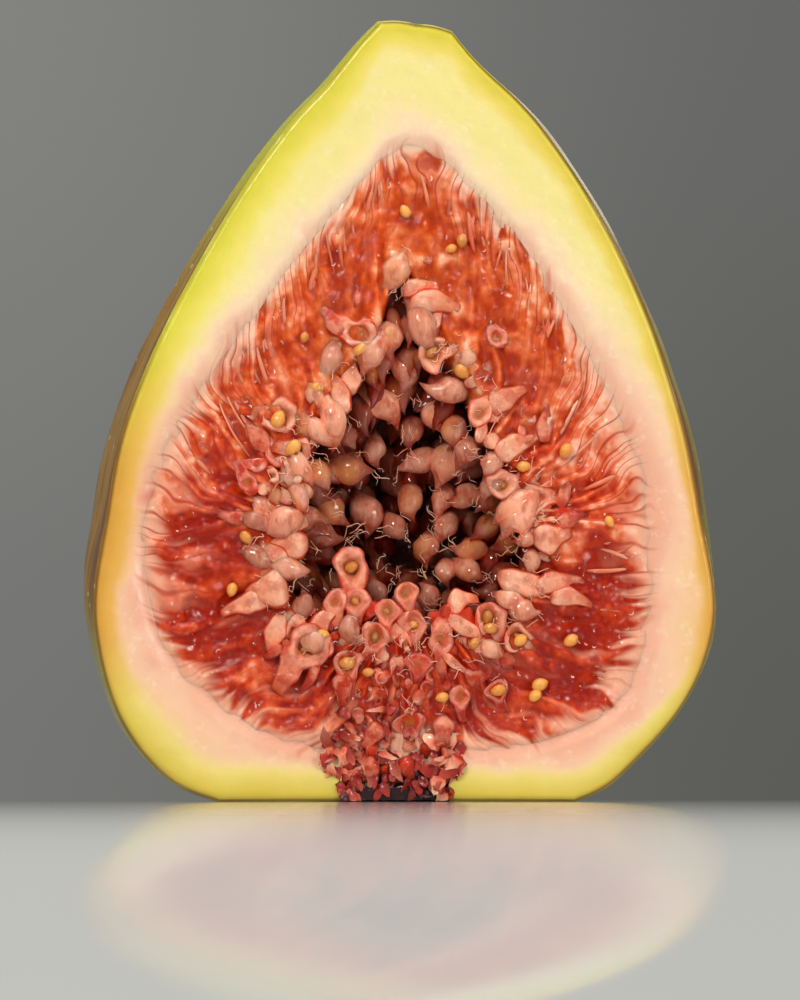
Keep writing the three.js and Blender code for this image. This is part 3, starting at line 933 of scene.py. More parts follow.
def clearance(place: Array, taken: Array) -> Array:
    """Each place's distance from the nearest of the taken ones."""
    return np.min(np.linalg.norm(place[:, None] - taken[None], axis=-1), axis=1)


def lane_of(x: Array, z: Array) -> Array:
    """Which strand's lane a point outside the pulp lies in, in millimetres along the pulp's edge.

    The strands are carried on into the flesh: the point's angle is moved back by the sway times
    its distance from the edge over the band's width.
    """
    angle = np.arctan2(z - HEART_Z, x)
    edge = CORE_RING.reach(angle)
    share = (edge - np.hypot(x, z - HEART_Z)) / (edge - HOLLOW_RING.reach(angle))
    return CORE_RING.along(angle + sway(angle) * share)


def bent(lane: Array, x: Array, z: Array) -> Array:
    """Lanes that wander as the strands do: moved sideways by slow noise over the cut face."""
    flat = np.stack([x, 0 * x, z], axis=-1)
    return lane + 1.3 * noise(flat, 3.4, 11) + 0.4 * noise(flat, 1.3, 12)


def on_plane(place: Array, y: Array) -> Array:
    """[x, z] places of the cut face as points at y."""
    return np.stack([place[..., 0], np.broadcast_to(y, place.shape[:-1]), place[..., 1]], axis=-1)


@dataclass
class PulpBed:
    """The red mass that the florets grow from: the cut band, the hollow's wall and the hidden back."""

    columns: int = 880
    back_rings: int = 7
    band_rings: int = 74
    wall_rings: int = 24
    back_start: float = 0.42  # how far behind the knife's plane the back begins
    back_depth: float = 21.5
    overlap: float = 1.2  # how far the band runs on below the flesh

    def band(self, angle: Array, share: Array) -> tuple[Array, dict[str, Array]]:
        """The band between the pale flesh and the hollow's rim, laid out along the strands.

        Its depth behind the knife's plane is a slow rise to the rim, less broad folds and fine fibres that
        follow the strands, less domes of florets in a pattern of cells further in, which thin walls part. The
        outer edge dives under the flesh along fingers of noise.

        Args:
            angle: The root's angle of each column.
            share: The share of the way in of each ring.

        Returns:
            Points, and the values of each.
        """
        over = self.overlap
        place = strand_point(angle, share, over)
        x, z = place[..., 0], place[..., 1]
        width = band_width(angle)
        inside = share * (width + over) - over
        flat = np.stack([x, 0 * x, z], axis=-1)
        lane = bent(CORE_RING.along(angle - sway(angle) * over / width * (1 - share)), x, z)
        fold = ridges(lane / 2.6, inside / 3.6, 13)
        stroke = noise(np.stack([lane / 1.0, inside / 3.4, 0 * lane], axis=-1), 1.0, 18)
        upper = smoothstep(27, 34, z)
        stroke = stroke * (1 - 0.75 * upper) + 0.75 * upper * noise(flat, 1.0, 28)
        thread = noise(np.stack([lane / 0.45, inside / 2.6, 0 * lane], axis=-1), 1.0, 14)
        grain = noise(flat, 0.42, 20)
        first, gap, value = cells(lane / 2.6, inside / 3.2 + 0.5 * draw(np.floor(lane / 2.6), 4), 3)
        outer = 1 - smoothstep(2.5, 7.0, inside)
        inner = smoothstep(1.5, 5.0, inside)
        dome = np.clip(1 - first**2 * 1.6, 0, 1)
        rim = smoothstep(0.55, 0.9, share)
        broken = smoothstep(-0.1, 0.5, noise(flat, 1.1, 19))
        wall = np.exp(-((gap / 0.16) ** 2)) * broken
        rough = noise(flat, 0.7, 15)
        start = smoothstep(0.0, 1.0, inside)
        finger = noise(np.stack([lane / 0.75, inside / 4.0, 0 * lane], axis=-1), 1.0, 29)
        depth = edge_dip(flat, np.maximum(-inside, 0)) + 0.26 * smoothstep(0.3, -over, inside) - 0.07
        depth = depth + 0.09 * finger * smoothstep(0.6, -0.2, inside)
        depth = depth + 0.3 * smoothstep(0.2, 4, inside)
        depth = depth - start * (0.22 * fold + 0.2 * stroke + 0.08 * thread + 0.12 * grain)
        depth = depth - inner * ((0.3 + 0.45 * rim) * dome + 0.1 * wall) + 0.12 * rough * start
        depth = depth + 1.4 * smoothstep(0.86, 1.0, share) ** 2
        crest = 0.24 * fold + 0.45 * smoothstep(-0.5, 0.65, stroke) - 0.06
        crest = crest + 0.26 * smoothstep(-0.5, 0.7, thread) * (0.4 + 0.6 * outer)
        right = smoothstep(5, 14, x) * smoothstep(16, 22, z) * smoothstep(40, 32, z)
        crest = crest + 0.24 * right - 0.32 * smoothstep(25, 12, z)
        crest = crest + inner * (0.15 * wall + (0.15 + 0.2 * rim) * smoothstep(0.3, 1.0, value) * dome)
        crest = crest + 0.16 * rough + 0.22 * grain
        values = {
            "inside": inside,
            "lane": lane,
            "crest": np.clip(crest, 0, 1),
            # painted shade of the hollow: 0.9 at the band's inner edge and 1 on the hollow's wall
            "deep": 0.9 * smoothstep(0.95, 1.0, share) + 0 * inside,
            "cell": value * inner,
        }
        return np.stack([x, CUT_Y + depth, z], axis=-1), values

    def build(self) -> Piece:
        """Makes the bed as one closed body.

        Behind the band lies a dome: its distance from the heart is the edge's times the cosine of
        the turn, and its depth a fixed depth times the sine. In the hollow the distance is the
        rim's times the cosine of the turn, and the depth that of the hollow's back wall.
        """
        angle = -math.pi / 2 + np.linspace(0, 2 * math.pi, self.columns, endpoint=False)[None]
        h = np.linspace(0, math.pi / 2, self.back_rings + 2)[1:-1][::-1, None]
        far = (CORE_RING.reach(angle) + 0.6) * np.cos(h)
        back = np.stack(
            [
                far * np.cos(angle),
                CUT_Y + self.back_start + self.back_depth * np.sin(h) + 0 * far,
                HEART_Z + far * np.sin(angle),
            ],
            axis=-1,
        )
        band, values = self.band(angle, np.linspace(0, 1, self.band_rings)[:, None])
        moved = angle - sway(angle)
        h = np.linspace(0, math.pi / 2, self.wall_rings + 2)[1:-1, None]
        far = HOLLOW_RING.reach(moved) * np.cos(h)
        x, z = far * np.cos(moved), HEART_Z + far * np.sin(moved)
        rim_y = band[-1:, :, 1]
        deep = np.maximum(hollow_y(x, z), rim_y) + 0.3 * noise(np.stack([x, z, 0 * x], axis=-1), 1.5, 17)
        wall = np.stack([x, deep, z], axis=-1)
        points = np.concatenate([back, band, wall])
        rows = len(points)
        poles = np.array(
            [
                [0, CUT_Y + self.back_start + self.back_depth, HEART_Z],
                [0, float(hollow_y(0.0, HEART_Z)), HEART_Z],
            ]
        )
        count = rows * self.columns
        j = np.arange(self.columns)
        k = np.roll(j, -1)
        last = (rows - 1) * self.columns
        fans = np.concatenate(
            [
                np.stack([np.full(self.columns, count), k, j], axis=1),
                np.stack([np.full(self.columns, count + 1), last + j, last + k], axis=1),
            ]
        )
        surface = Surface()
        whole = {}
        # the hollow's wall takes 'deep' 1, the full painted shade of the hollow
        for key, ends in (
            ("inside", (0, 12)), ("lane", (0, 0)), ("crest", (0, 0)), ("deep", (0, 1)), ("cell", (0, 0.4))
        ):
            before = np.full(back.shape[:2], float(ends[0]))
            after = np.full(wall.shape[:2], float(ends[1]))
            whole[key] = np.concatenate([np.concatenate([before, values[key], after]).reshape(-1), ends])
        flat = np.concatenate([points.reshape(-1, 3), poles])
        surface.add(flat, grid_quads(rows, self.columns, closed=True), fans, **whole)
        return surface.made("pulp_bed", self.finish(), ["pulp"])

    def finish(self) -> Material:
        """Half clear red tissue, wet all over."""
        wet = Wet(
            roughness=0.5, scatter=0.9, scatter_mm=0.9, film=0.55, film_roughness=0.06, ior=1.12, bump_mm=0.07
        )
        return wet.material("fig_pulp", self.colour, lambda tree: mottle(tree, 0.35, 3.0))

    def colour(self, tree: Tree) -> Socket:
        """Deep red between the crests and pink on them, paler near the flesh, and a painted shade of dark
        red-brown over the hollow's wall.
        """
        names = ("inside", "lane", "crest", "deep")
        inside, lane, crest, deep = (add(tree, Step.OWN, attribute_name=k) for k in names)
        place = add(tree, Step.PLACE)
        height = add(tree, Step.HEIGHT, place)
        near = add(tree, Step.SPAN, inside, 4.0, 0.0, 0.0, 0.2)
        cloud = add(tree, Step.SPAN, mottle(tree, 2.4, 3.0), 0.3, 0.7, -0.16, 0.16)
        speck = add(tree, Step.SPAN, mottle(tree, 0.45, 2.0), 0.3, 0.7, -0.09, 0.09)
        level = add(tree, Step.PLUS, add(tree, Step.PLUS, crest, near), add(tree, Step.PLUS, cloud, speck))
        red = add(
            tree,
            Step.RAMP,
            level,
            {0.0: "#961a04", 0.25: "#b8300c", 0.5: "#ce4a20", 0.75: "#e3734a", 1.0: "#f3ae8e"},
        )
        orange = add(
            tree,
            Step.RAMP,
            level,
            {0.0: "#a83006", 0.25: "#c2440e", 0.5: "#d45c28", 0.75: "#e47c4e", 1.0: "#f3ae88"},
        )
        band = add(tree, Step.MIX, add(tree, Step.SPAN, height, 0.024, 0.036), red, orange)
        soft = add(tree, Step.SPAN, streaks(tree, lane, inside, 0.6, 0.2, 1.0), 0.54, 0.7)
        soft = add(tree, Step.TIMES, soft, add(tree, Step.SPAN, inside, 6.5, 1.5, 0.1, 0.5))
        band = add(tree, Step.MIX, soft, band, "#ee9878")
        outside = pale_flesh(tree, add(tree, Step.TIMES, inside, -1.0), height)
        band = add(tree, Step.MIX, border(tree, lane, inside), outside, band)
        band = add(tree, Step.MIX, add(tree, Step.TIMES, creases(tree, lane, inside), 0.8), band, "#ae2a14")
        # painted shade: the hollow's wall and the band's inner edge darkened to red-brown by 'deep'
        return add(tree, Step.MIX, deep, band, "#571a10")


@dataclass
class Strands:
    """The fine stalks that run from the pale flesh into the pulp, pale at the root and red inside."""

    count: int = 240
    steps: int = 10
    sides: int = 6
    profile: tuple[tuple[float, float], ...] = (
        (0, 0.05), (0.2, 0.4), (0.5, 0.8), (0.75, 1.0), (1, 0.3),
    )

    def build(self) -> Piece:
        """Lays each strand along its lane, from a root in the flesh to a share of the band.

        Its path is the lane's own line, moved sideways by a slow wave, and it sinks into the bed
        at both ends.
        """
        n = np.arange(self.count)
        turn = CORE_RING.turn
        where = CORE_RING.length[-1] * (n + 0.8 * draw(n, 31)) / self.count
        angle = np.interp(where, CORE_RING.length, turn)
        place = CORE_RING.point(angle)
        keep = (np.sin(angle) > -0.72) & (draw(n, 39) < 0.2 + 0.6 * smoothstep(22, 34, place[:, 1]))
        n, angle = n[keep], angle[keep]
        width = band_width(angle)
        high = smoothstep(25, 36, CORE_RING.point(angle)[:, 1])
        start = -spread(n, 32, -0.3, 1.3) / width
        end = start + (spread(n, 33, 3.0, 5.5) + 1.5 * high) / width
        s = np.linspace(0, 1, self.steps)[None]
        share = start[:, None] + (end - start)[:, None] * s
        lines = strand_point(angle[:, None], share)
        wave = np.sin(2.2 * s + 6 * draw(n, 34)[:, None]) * spread(n, 35, 0.2, 0.8)[:, None]
        heading = strand_heading(angle[:, None], share)
        lines = lines + wave[..., None] * heading[..., ::-1] * np.array([-1.0, 1.0])
        layer = spread(n, 36, 0.15, 0.5)[:, None]
        y = CUT_Y + layer + 0.14 + 0.25 * (2 * s - 1) ** 2
        spine = on_plane(lines, y)
        thick = spread(n, 37, 0.1, 0.26)
        radius = swelling(self.profile, self.steps)[None] * thick[:, None]
        points, quads, fans, along, _ = tubes(spine, radius, self.sides, 0.8)
        surface = Surface()
        tint = np.broadcast_to(draw(n, 38)[:, None], along.shape)
        surface.add(points, quads, fans, along=along, tint=tint)
        return surface.made("pulp_strands", self.finish(), ["pulp"])

    def finish(self) -> Material:
        """Half clear strands below a film of juice."""
        wet = Wet(roughness=0.3, scatter=0.7, scatter_mm=0.7, film=0.8, film_roughness=0.06, bump_mm=0.03)
        return wet.material("fig_strands", self.colour, lambda tree: mottle(tree, 0.3, 2.0))

    def colour(self, tree: Tree) -> Socket:
        """Cream pink at the root, then salmon, then the pulp's red, each strand in its own tint."""
        along, tint = add(tree, Step.OWN, attribute_name="along"), add(tree, Step.OWN, attribute_name="tint")
        moved = add(tree, Step.PLUS, along, add(tree, Step.SPAN, tint, 0.0, 1.0, -0.2, 0.2))
        pale = add(tree, Step.RAMP, moved, {0.0: "#f3bc9e", 0.3: "#ee9c7c", 0.6: "#e47a56", 1.0: "#cf4c26"})
        deep = add(tree, Step.RAMP, moved, {0.0: "#ea906c", 0.25: "#d65f3c", 0.55: "#c03a18", 1.0: "#ae2c0e"})
        return add(tree, Step.MIX, add(tree, Step.SPAN, tint, 0.6, 1.3), pale, deep)


@dataclass(frozen=True)
class Spot:
    """One floret as the photograph shows it: its middle in pixels, its aim in degrees, its size in pixels."""

    x: int
    y: int
    aim: int
    length: int
    width: int
    tone: float = 0.3  # 0 pale pink, 1 deep red
    seed: float = 0.0  # how much of an amber seed shows through or in the cup

    def place(self) -> Array:
        """Its middle on the cut face, in millimetres."""
        return np.array([(self.x - AXIS_PIXEL) * PIXEL, (BASE_PIXEL - self.y) * PIXEL])

    def heading(self) -> Array:
        """Its direction from root to tip on the cut face."""
        turn = math.radians(self.aim)
        return np.array([math.cos(turn), math.sin(turn)])


# Whole florets that hang in the hollow or stand on its rim.
WHOLE_SPOTS = [
    Spot(380, 402, -45, 66, 37, 0.15),
    Spot(443, 392, 185, 54, 33, 0.2, 0.8),
    Spot(433, 414, -82, 42, 33, 0.2),
    Spot(446, 464, -112, 58, 38, 0.2),
    Spot(417, 461, -155, 46, 31, 0.25, 0.3),
    Spot(443, 499, -118, 46, 29, 0.25),
    Spot(410, 502, -100, 38, 29, 0.3, 0.4),
    Spot(368, 514, -65, 44, 37, 0.35),
    Spot(350, 468, -15, 50, 42, 0.4, 0.8),
    Spot(374, 450, -92, 44, 23, 0.3),
    Spot(427, 549, -105, 40, 30, 0.3, 0.5),
    Spot(446, 573, -95, 30, 25, 0.35),
    Spot(470, 571, -40, 34, 28, 0.3, 0.3),
    Spot(469, 549, 190, 38, 31, 0.35, 0.8),
    Spot(447, 525, -120, 40, 32, 0.4),
    Spot(396, 526, -60, 34, 27, 0.4, 1.0),
    Spot(331, 511, -48, 52, 35, 0.35, 0.8),
    Spot(322, 535, -30, 46, 38, 0.4),
    Spot(316, 477, -60, 38, 30, 0.3, 1.0),
    Spot(524, 538, 212, 34, 23, 0.1),
    Spot(529, 562, 265, 34, 19, 0.15),
    Spot(519, 612, -20, 38, 31, 0.1),
    Spot(488, 466, 240, 34, 25, 0.2),
    Spot(488, 487, 225, 42, 28, 0.45),
    Spot(385, 342, 262, 40, 31, 0.35, 0.8),
    Spot(404, 372, 270, 44, 34, 0.45),
    Spot(410, 432, 250, 38, 30, 0.5, 0.4),
    Spot(452, 432, 255, 36, 30, 0.5, 0.8),
    Spot(345, 438, 300, 30, 24, 0.4),
    Spot(465, 497, 220, 36, 30, 0.45),
    Spot(305, 520, 10, 40, 32, 0.3),
    Spot(300, 607, 70, 34, 29, 0.35),
    Spot(374, 592, 95, 36, 26, 0.3),
    Spot(428, 596, 100, 30, 24, 0.35),
    Spot(463, 452, 260, 34, 26, 0.4),
]

# Florets that the knife opened, with their pale walls and the cup of the seed.
CUT_SPOTS = [
    Spot(297, 655, 52, 84, 37, 0.0, 0.9),
    Spot(348, 574, 93, 64, 38, 0.35, 0.7),
    Spot(522, 586, 172, 72, 30, 0.0),
    Spot(456, 601, 190, 34, 24, 0.0),
    Spot(409, 630, 98, 46, 28, 0.2, 0.8),
    Spot(371, 641, 80, 42, 32, 0.25, 0.9),
    Spot(436, 645, 92, 66, 24, 0.15, 0.6),
    Spot(485, 622, 110, 44, 36, 0.2, 0.8),
    Spot(517, 640, 150, 40, 30, 0.3, 1.0),
    Spot(393, 670, 90, 34, 16, 0.1),
    Spot(343, 668, 85, 42, 27, 0.35, 0.9),
    Spot(330, 608, 92, 44, 23, 0.4, 0.9),
    Spot(351, 606, 88, 40, 26, 0.4, 0.8),
    Spot(383, 616, 85, 38, 25, 0.35, 0.9),
    Spot(401, 598, 100, 34, 26, 0.45, 0.8),
    Spot(266, 592, 8, 46, 40, 0.05),
    Spot(271, 634, 80, 48, 22, 0.1),
    Spot(352, 334, 335, 50, 34, 0.1, 1.0),
    Spot(427, 304, 175, 56, 32, 0.05),
    Spot(431, 352, 205, 46, 37, 0.1, 0.7),
    Spot(413, 288, 190, 40, 22, 0.15),
    Spot(337, 398, -70, 50, 22, 0.1),
    Spot(272, 418, -5, 56, 34, 0.1, 1.0),
    Spot(510, 448, 205, 52, 25, 0.1),
    Spot(501, 486, 195, 46, 30, 0.25, 0.6),
    Spot(534, 500, 190, 46, 32, 0.15, 0.5),
    Spot(546, 540, 188, 44, 30, 0.2),
    Spot(478, 412, 225, 44, 27, 0.2, 0.6),
    Spot(500, 400, 215, 46, 26, 0.3),
    Spot(290, 452, -10, 42, 27, 0.25, 1.0),
    Spot(286, 545, 5, 46, 32, 0.15),
    Spot(243, 605, 15, 50, 24, 0.2),
    Spot(565, 598, 170, 46, 22, 0.2),
    Spot(456, 702, 95, 40, 20, 0.4, 0.8),
    Spot(494, 695, 100, 36, 22, 0.45, 1.0),
    Spot(413, 668, 90, 34, 26, 0.55, 0.3),
    Spot(370, 736, 60, 30, 22, 0.15),
    Spot(405, 728, 95, 34, 30, 0.5, 0.5),
    Spot(438, 732, 100, 38, 22, 0.2),
    Spot(338, 690, 92, 36, 20, 0.3),
]

# Seeds that lie open on the cut face, as pixel, pixel and size in pixels.
SEED_SPOTS = [
    (357, 352, 21), (311, 391, 19), (325, 409, 20), (322, 432, 20), (458, 373, 19), (274, 422, 20),
    (401, 213, 15), (458, 242, 15), (562, 452, 17), (289, 450, 20), (343, 665, 19), (494, 692, 17),
    (536, 686, 18), (531, 697, 16), (470, 645, 14), (486, 630, 16), (438, 699, 15), (364, 674, 13),
    (516, 642, 17), (567, 642, 17), (242, 540, 16), (228, 592, 15), (520, 468, 16), (318, 637, 17),
    (606, 523, 13), (447, 250, 13), (300, 340, 12),
]


@dataclass
class WholeFlorets:
    """The drop-shaped florets that line the hollow, on stalks from its wall."""

    steps: int = 18
    sides: int = 14
    plain_steps: int = 12
    plain_sides: int = 9
    profile: tuple[tuple[float, float], ...] = (
        (0, 0.35), (0.16, 0.5), (0.34, 0.88), (0.5, 1.0), (0.66, 0.84), (0.8, 0.44), (0.9, 0.2), (1, 0.06),
    )

    def from_spots(self) -> tuple[Array, Array, Array, Array]:
        """The paths, radii, tones and seeds of the florets that the photograph shows."""
        place = np.array([s.place() for s in WHOLE_SPOTS])
        heading = np.array([s.heading() for s in WHOLE_SPOTS])
        length = np.array([s.length for s in WHOLE_SPOTS])[:, None] * PIXEL * 0.92
        n = np.arange(len(WHOLE_SPOTS)) + 40
        back = hollow_y(place[:, 0], place[:, 1])
        inside = smoothstep(0, 4, -HOLLOW_RING.beyond(place))
        open_y = CUT_Y + 0.6 + 0.42 * np.maximum(back - CUT_Y, 0) * inside
        root_xz = place - heading * length * 0.62
        root = on_plane(root_xz, open_y + 2.2)
        middle = on_plane(place - heading * length * 0.05, open_y - 0.3)
        tip = on_plane(place + heading * length * 0.55, open_y + spread(n, 41, -0.6, 0.4))
        return (
            bowed(root, 2 * middle - 0.5 * (root + tip), tip, self.steps),
            np.array([s.width for s in WHOLE_SPOTS]) * PIXEL * 0.45,
            # painted shade: 0.3 more tone, darker, for all but the florets right of x 440 or above y 430,
            # which get 0.08
            np.array([s.tone + (0.08 if s.x > 440 or s.y < 430 else 0.3) for s in WHOLE_SPOTS]),
            np.array([s.seed for s in WHOLE_SPOTS]),
        )

    def from_wall(self) -> tuple[Array, Array, Array, Array]:
        """The florets behind them, in rows on the hollow's wall.

        Row and column are evenly spaced by the florets' pitch over the wall's height and turn, and
        each is then moved and aimed by its own draws.
        """
        pitch = 1.95
        curve = evenly(HOLLOW.points, 18)
        middles = (curve[1:] + curve[:-1]) / 2
        turns, radii, heights = [], [], []
        for row, (radius, z) in enumerate(middles):
            count = max(1, round(math.pi * radius / pitch))
            turns.append(math.pi * (np.arange(count) + 0.5 + 0.5 * (row % 2)) / (count + 0.5))
            radii.append(np.full(count, radius))
            heights.append(np.full(count, z))
        turn, radius, z = (np.concatenate(v) for v in (turns, radii, heights))
        n = np.arange(len(turn)) + 200
        turn = turn + 0.25 * (draw(n, 51) - 0.5)
        z = z + 0.9 * (draw(n, 52) - 0.5)
        x = radius * np.cos(turn)
        y = hollow_middle_y(z) + HOLLOW_DEPTH * radius * np.sin(turn)
        root = np.stack([x, y + 0.5, z], axis=-1)
        heart = np.stack([0 * x, hollow_middle_y(z) - 1.0, z * 0.55 + HEART_Z * 0.45], axis=-1)
        aim = unit(heart - root)
        aim = aim + np.stack([draw(n, 53) - 0.5, -0.5 * draw(n, 54), -0.9 * draw(n, 55)], axis=-1)
        aim = unit(aim)
        size = spread(n, 56, 0.8, 1.15) * np.minimum(1, 0.55 + radius / 10)
        length = (3.5 * size)[:, None]
        droop = np.stack([draw(n, 57) - 0.5, -0.4 * draw(n, 58), -1.0 * draw(n, 59)], axis=-1)
        middle = root + aim * length * 0.5
        tip = root + aim * length + droop * 1.3
        tip[:, 1] = np.maximum(tip[:, 1], CUT_Y - 0.3)
        return (
            bowed(root, middle, tip, self.plain_steps),
            1.0 * size,
            # painted shade: the florets on the hollow's wall get tones of 0.7 to 1.15, darkened because they
            # lie deep in the hollow
            spread(n, 60, 0.7, 1.15),
            np.where(draw(n, 61) < 0.3, spread(n, 62, 0.4, 1.0), 0),
        )

    def from_rim(self) -> tuple[Array, Array, Array, Array]:
        """The bulging florets round the hollow's rim, in two staggered rows along the strands."""
        taken = np.array([s.place() for s in CUT_SPOTS + WHOLE_SPOTS])
        paths = []
        for count, share, size, proud, first in ((46, 0.99, 0.8, 0.15, 1000), (38, 0.84, 0.66, 0.0, 1100)):
            n = np.arange(count) + first
            angle = -math.pi / 2 + 2 * math.pi * (n - first + 0.8 * draw(n, 141)) / count
            way = share + 0.1 * (draw(n, 142) - 0.5)
            place = strand_point(angle, way)
            free = clearance(place, taken) > 1.3
            keep = free & (np.sin(angle) > -0.75)
            run = strand_heading(angle, way)
            side = np.stack([-run[:, 1], run[:, 0]], axis=1)
            turn = (1.5 * (draw(n, 143) - 0.5))[:, None]
            run = run * np.cos(turn) + side * np.sin(turn) + np.array([0, -0.25])
            size = (size * spread(n, 144, 0.6, 1.35))[:, None]
            root = on_plane(place - 2.3 * size * run, CUT_Y + 1.0)
            middle = on_plane(place, CUT_Y + 0.2 - proud)
            tip = on_plane(place + 1.9 * size * run, CUT_Y + spread(n, 145, 0.0, 1.6))
            path = bowed(root, 2 * middle - 0.5 * (root + tip), tip, self.plain_steps)
            amber = np.where(draw(n, 147) < 0.25, spread(n, 148, 0.4, 1.0), 0)
            tone = spread(n, 146, 0.0, 0.75) - 0.3 * smoothstep(0, 4, place[:, 0])
            paths.append((path[keep], 1.2 * size[keep, 0], tone[keep], amber[keep]))
        return tuple(np.concatenate(part) for part in zip(*paths))

    def build(self) -> Piece:
        """Makes all of them as one piece."""
        surface = Surface()
        for spine, width, tone, seed in (self.from_spots(), self.from_rim(), self.from_wall()):
            n = np.arange(len(width)) + 900 * (len(width) % 7)
            steps = spine.shape[1]
            share = np.linspace(0, 1, steps)[None]
            aim = unit(spine[:, -1] - spine[:, 0])
            side = unit(np.cross(aim, FACE + 0 * aim))
            hook = np.clip((share - 0.62) / 0.38, 0, 1) ** 2 * (spread(n, 65, -0.9, 0.9) * width)[:, None]
            spine = spine + hook[..., None] * side[:, None]
            radius = swelling(self.profile, steps)[None] * width[:, None]
            radius = radius * (1 + 0.07 * np.sin(share * 9 + n[:, None]))
            sides = self.sides if steps == self.steps else self.plain_sides
            points, quads, fans, along, turn = tubes(spine, radius, sides, spread(n, 63, 0.82, 1.0))
            bulge = 0.2 * noise(points, 1.3, 21) + 0.09 * noise(points, 0.55, 22)
            outward = unit(points - points.mean(axis=1, keepdims=True))
            points = points + (
                bulge * smoothstep(0, 0.3, along) * smoothstep(-1.0, -0.8, -along)
            )[..., None] * outward
            points[..., 1] = np.maximum(points[..., 1], CUT_Y - PROUD_LIMIT)
            ring = np.rint(along * (steps - 1)).astype(int)
            # painted shade: how far a point lies behind its floret's spine, away from the cut face, for
            # darkening the backs
            behind = (points[..., 1] - np.take_along_axis(spine[..., 1], ring, axis=1)) / width[:, None]
            low = 0.5 - 0.5 * np.cos(turn - 2 * math.pi * draw(n, 64)[:, None])
            belly = smoothstep(0.28, 0.5, along) * smoothstep(-0.82, -0.6, -along)
            surface.add(
                points,
                quads,
                fans,
                along=along,
                tone=np.broadcast_to(tone[:, None], along.shape),
                behind=smoothstep(-0.5, 0.45, behind),
                amber=seed[:, None] * belly * smoothstep(0.25, 0.8, low),
            )
        return surface.made("pulp_whole_florets", self.finish(), ["pulp"])

    def finish(self) -> Material:
        """Taut, waxy pink florets, clear enough for light to pass their walls."""
        wet = Wet(roughness=0.5, scatter=0.95, scatter_mm=1.4, scatter_tint=FLORET_TINT, film=0.9,
                  film_roughness=0.04, ior=1.12, bump_mm=0.06)
        return wet.material("fig_florets", self.colour, lambda tree: mottle(tree, 0.45, 3.0, (1, 1, 2.5)))

    def colour(self, tree: Tree) -> Socket:
        """Dusty pink, redder at the tip, with painted shade that darkens the back of each floret, and the
        amber of a seed behind some walls.
        """
        names = ("along", "tone", "amber", "behind")
        along, tone, amber, behind = (add(tree, Step.OWN, attribute_name=k) for k in names)
        pale = add(
            tree,
            Step.RAMP,
            along,
            {0.0: "#c43c1a", 0.3: "#e88664", 0.5: "#f2a27e", 0.7: "#e68a66", 0.95: "#c43c1e"},
        )
        # dark ramp for high tones: the florets' own wine red, and the painted shade given to the hollow's
        # florets
        deep = add(tree, Step.RAMP, along, {0.0: "#480a00", 0.4: "#80220e", 0.7: "#741a06", 0.95: "#600c00"})
        base = add(tree, Step.MIX, tone, pale, deep)
        lit = add(tree, Step.SPAN, tone, 0.3, 1.1, 1.0, 0.1)
        cloud = add(tree, Step.TIMES, add(tree, Step.SPAN, mottle(tree, 1.3, 2.0), 0.35, 0.7), lit)
        base = add(tree, Step.MIX, add(tree, Step.TIMES, cloud, 0.35), base, "#f6bca4")
        fleck = add(tree, Step.SPAN, mottle(tree, 0.75, 3.0, (1, 1, 1.8), 0.2), 0.48, 0.7)
        base = add(tree, Step.MIX, add(tree, Step.TIMES, fleck, 0.55), base, "#a82408")
        vein = add(
            tree, Step.TIMES, add(tree, Step.SPAN, mottle(tree, 0.3, 2.0, (1, 1, 3.0), 0.1), 0.5, 0.75), lit
        )
        base = add(tree, Step.MIX, add(tree, Step.TIMES, vein, 0.3), base, "#f6c8b4")
        base = add(tree, Step.MIX, add(tree, Step.TIMES, amber, 0.6), base, "#dc8438")
        # painted shade: the florets' backs, where they lie on each other, darkened to deep red and near black
        return add(
            tree,
            Step.MIX,
            add(tree, Step.TIMES, behind, 0.75),
            base,
            add(tree, Step.MIX, tone, "#b42c0e", "#4c0a00"),
        )


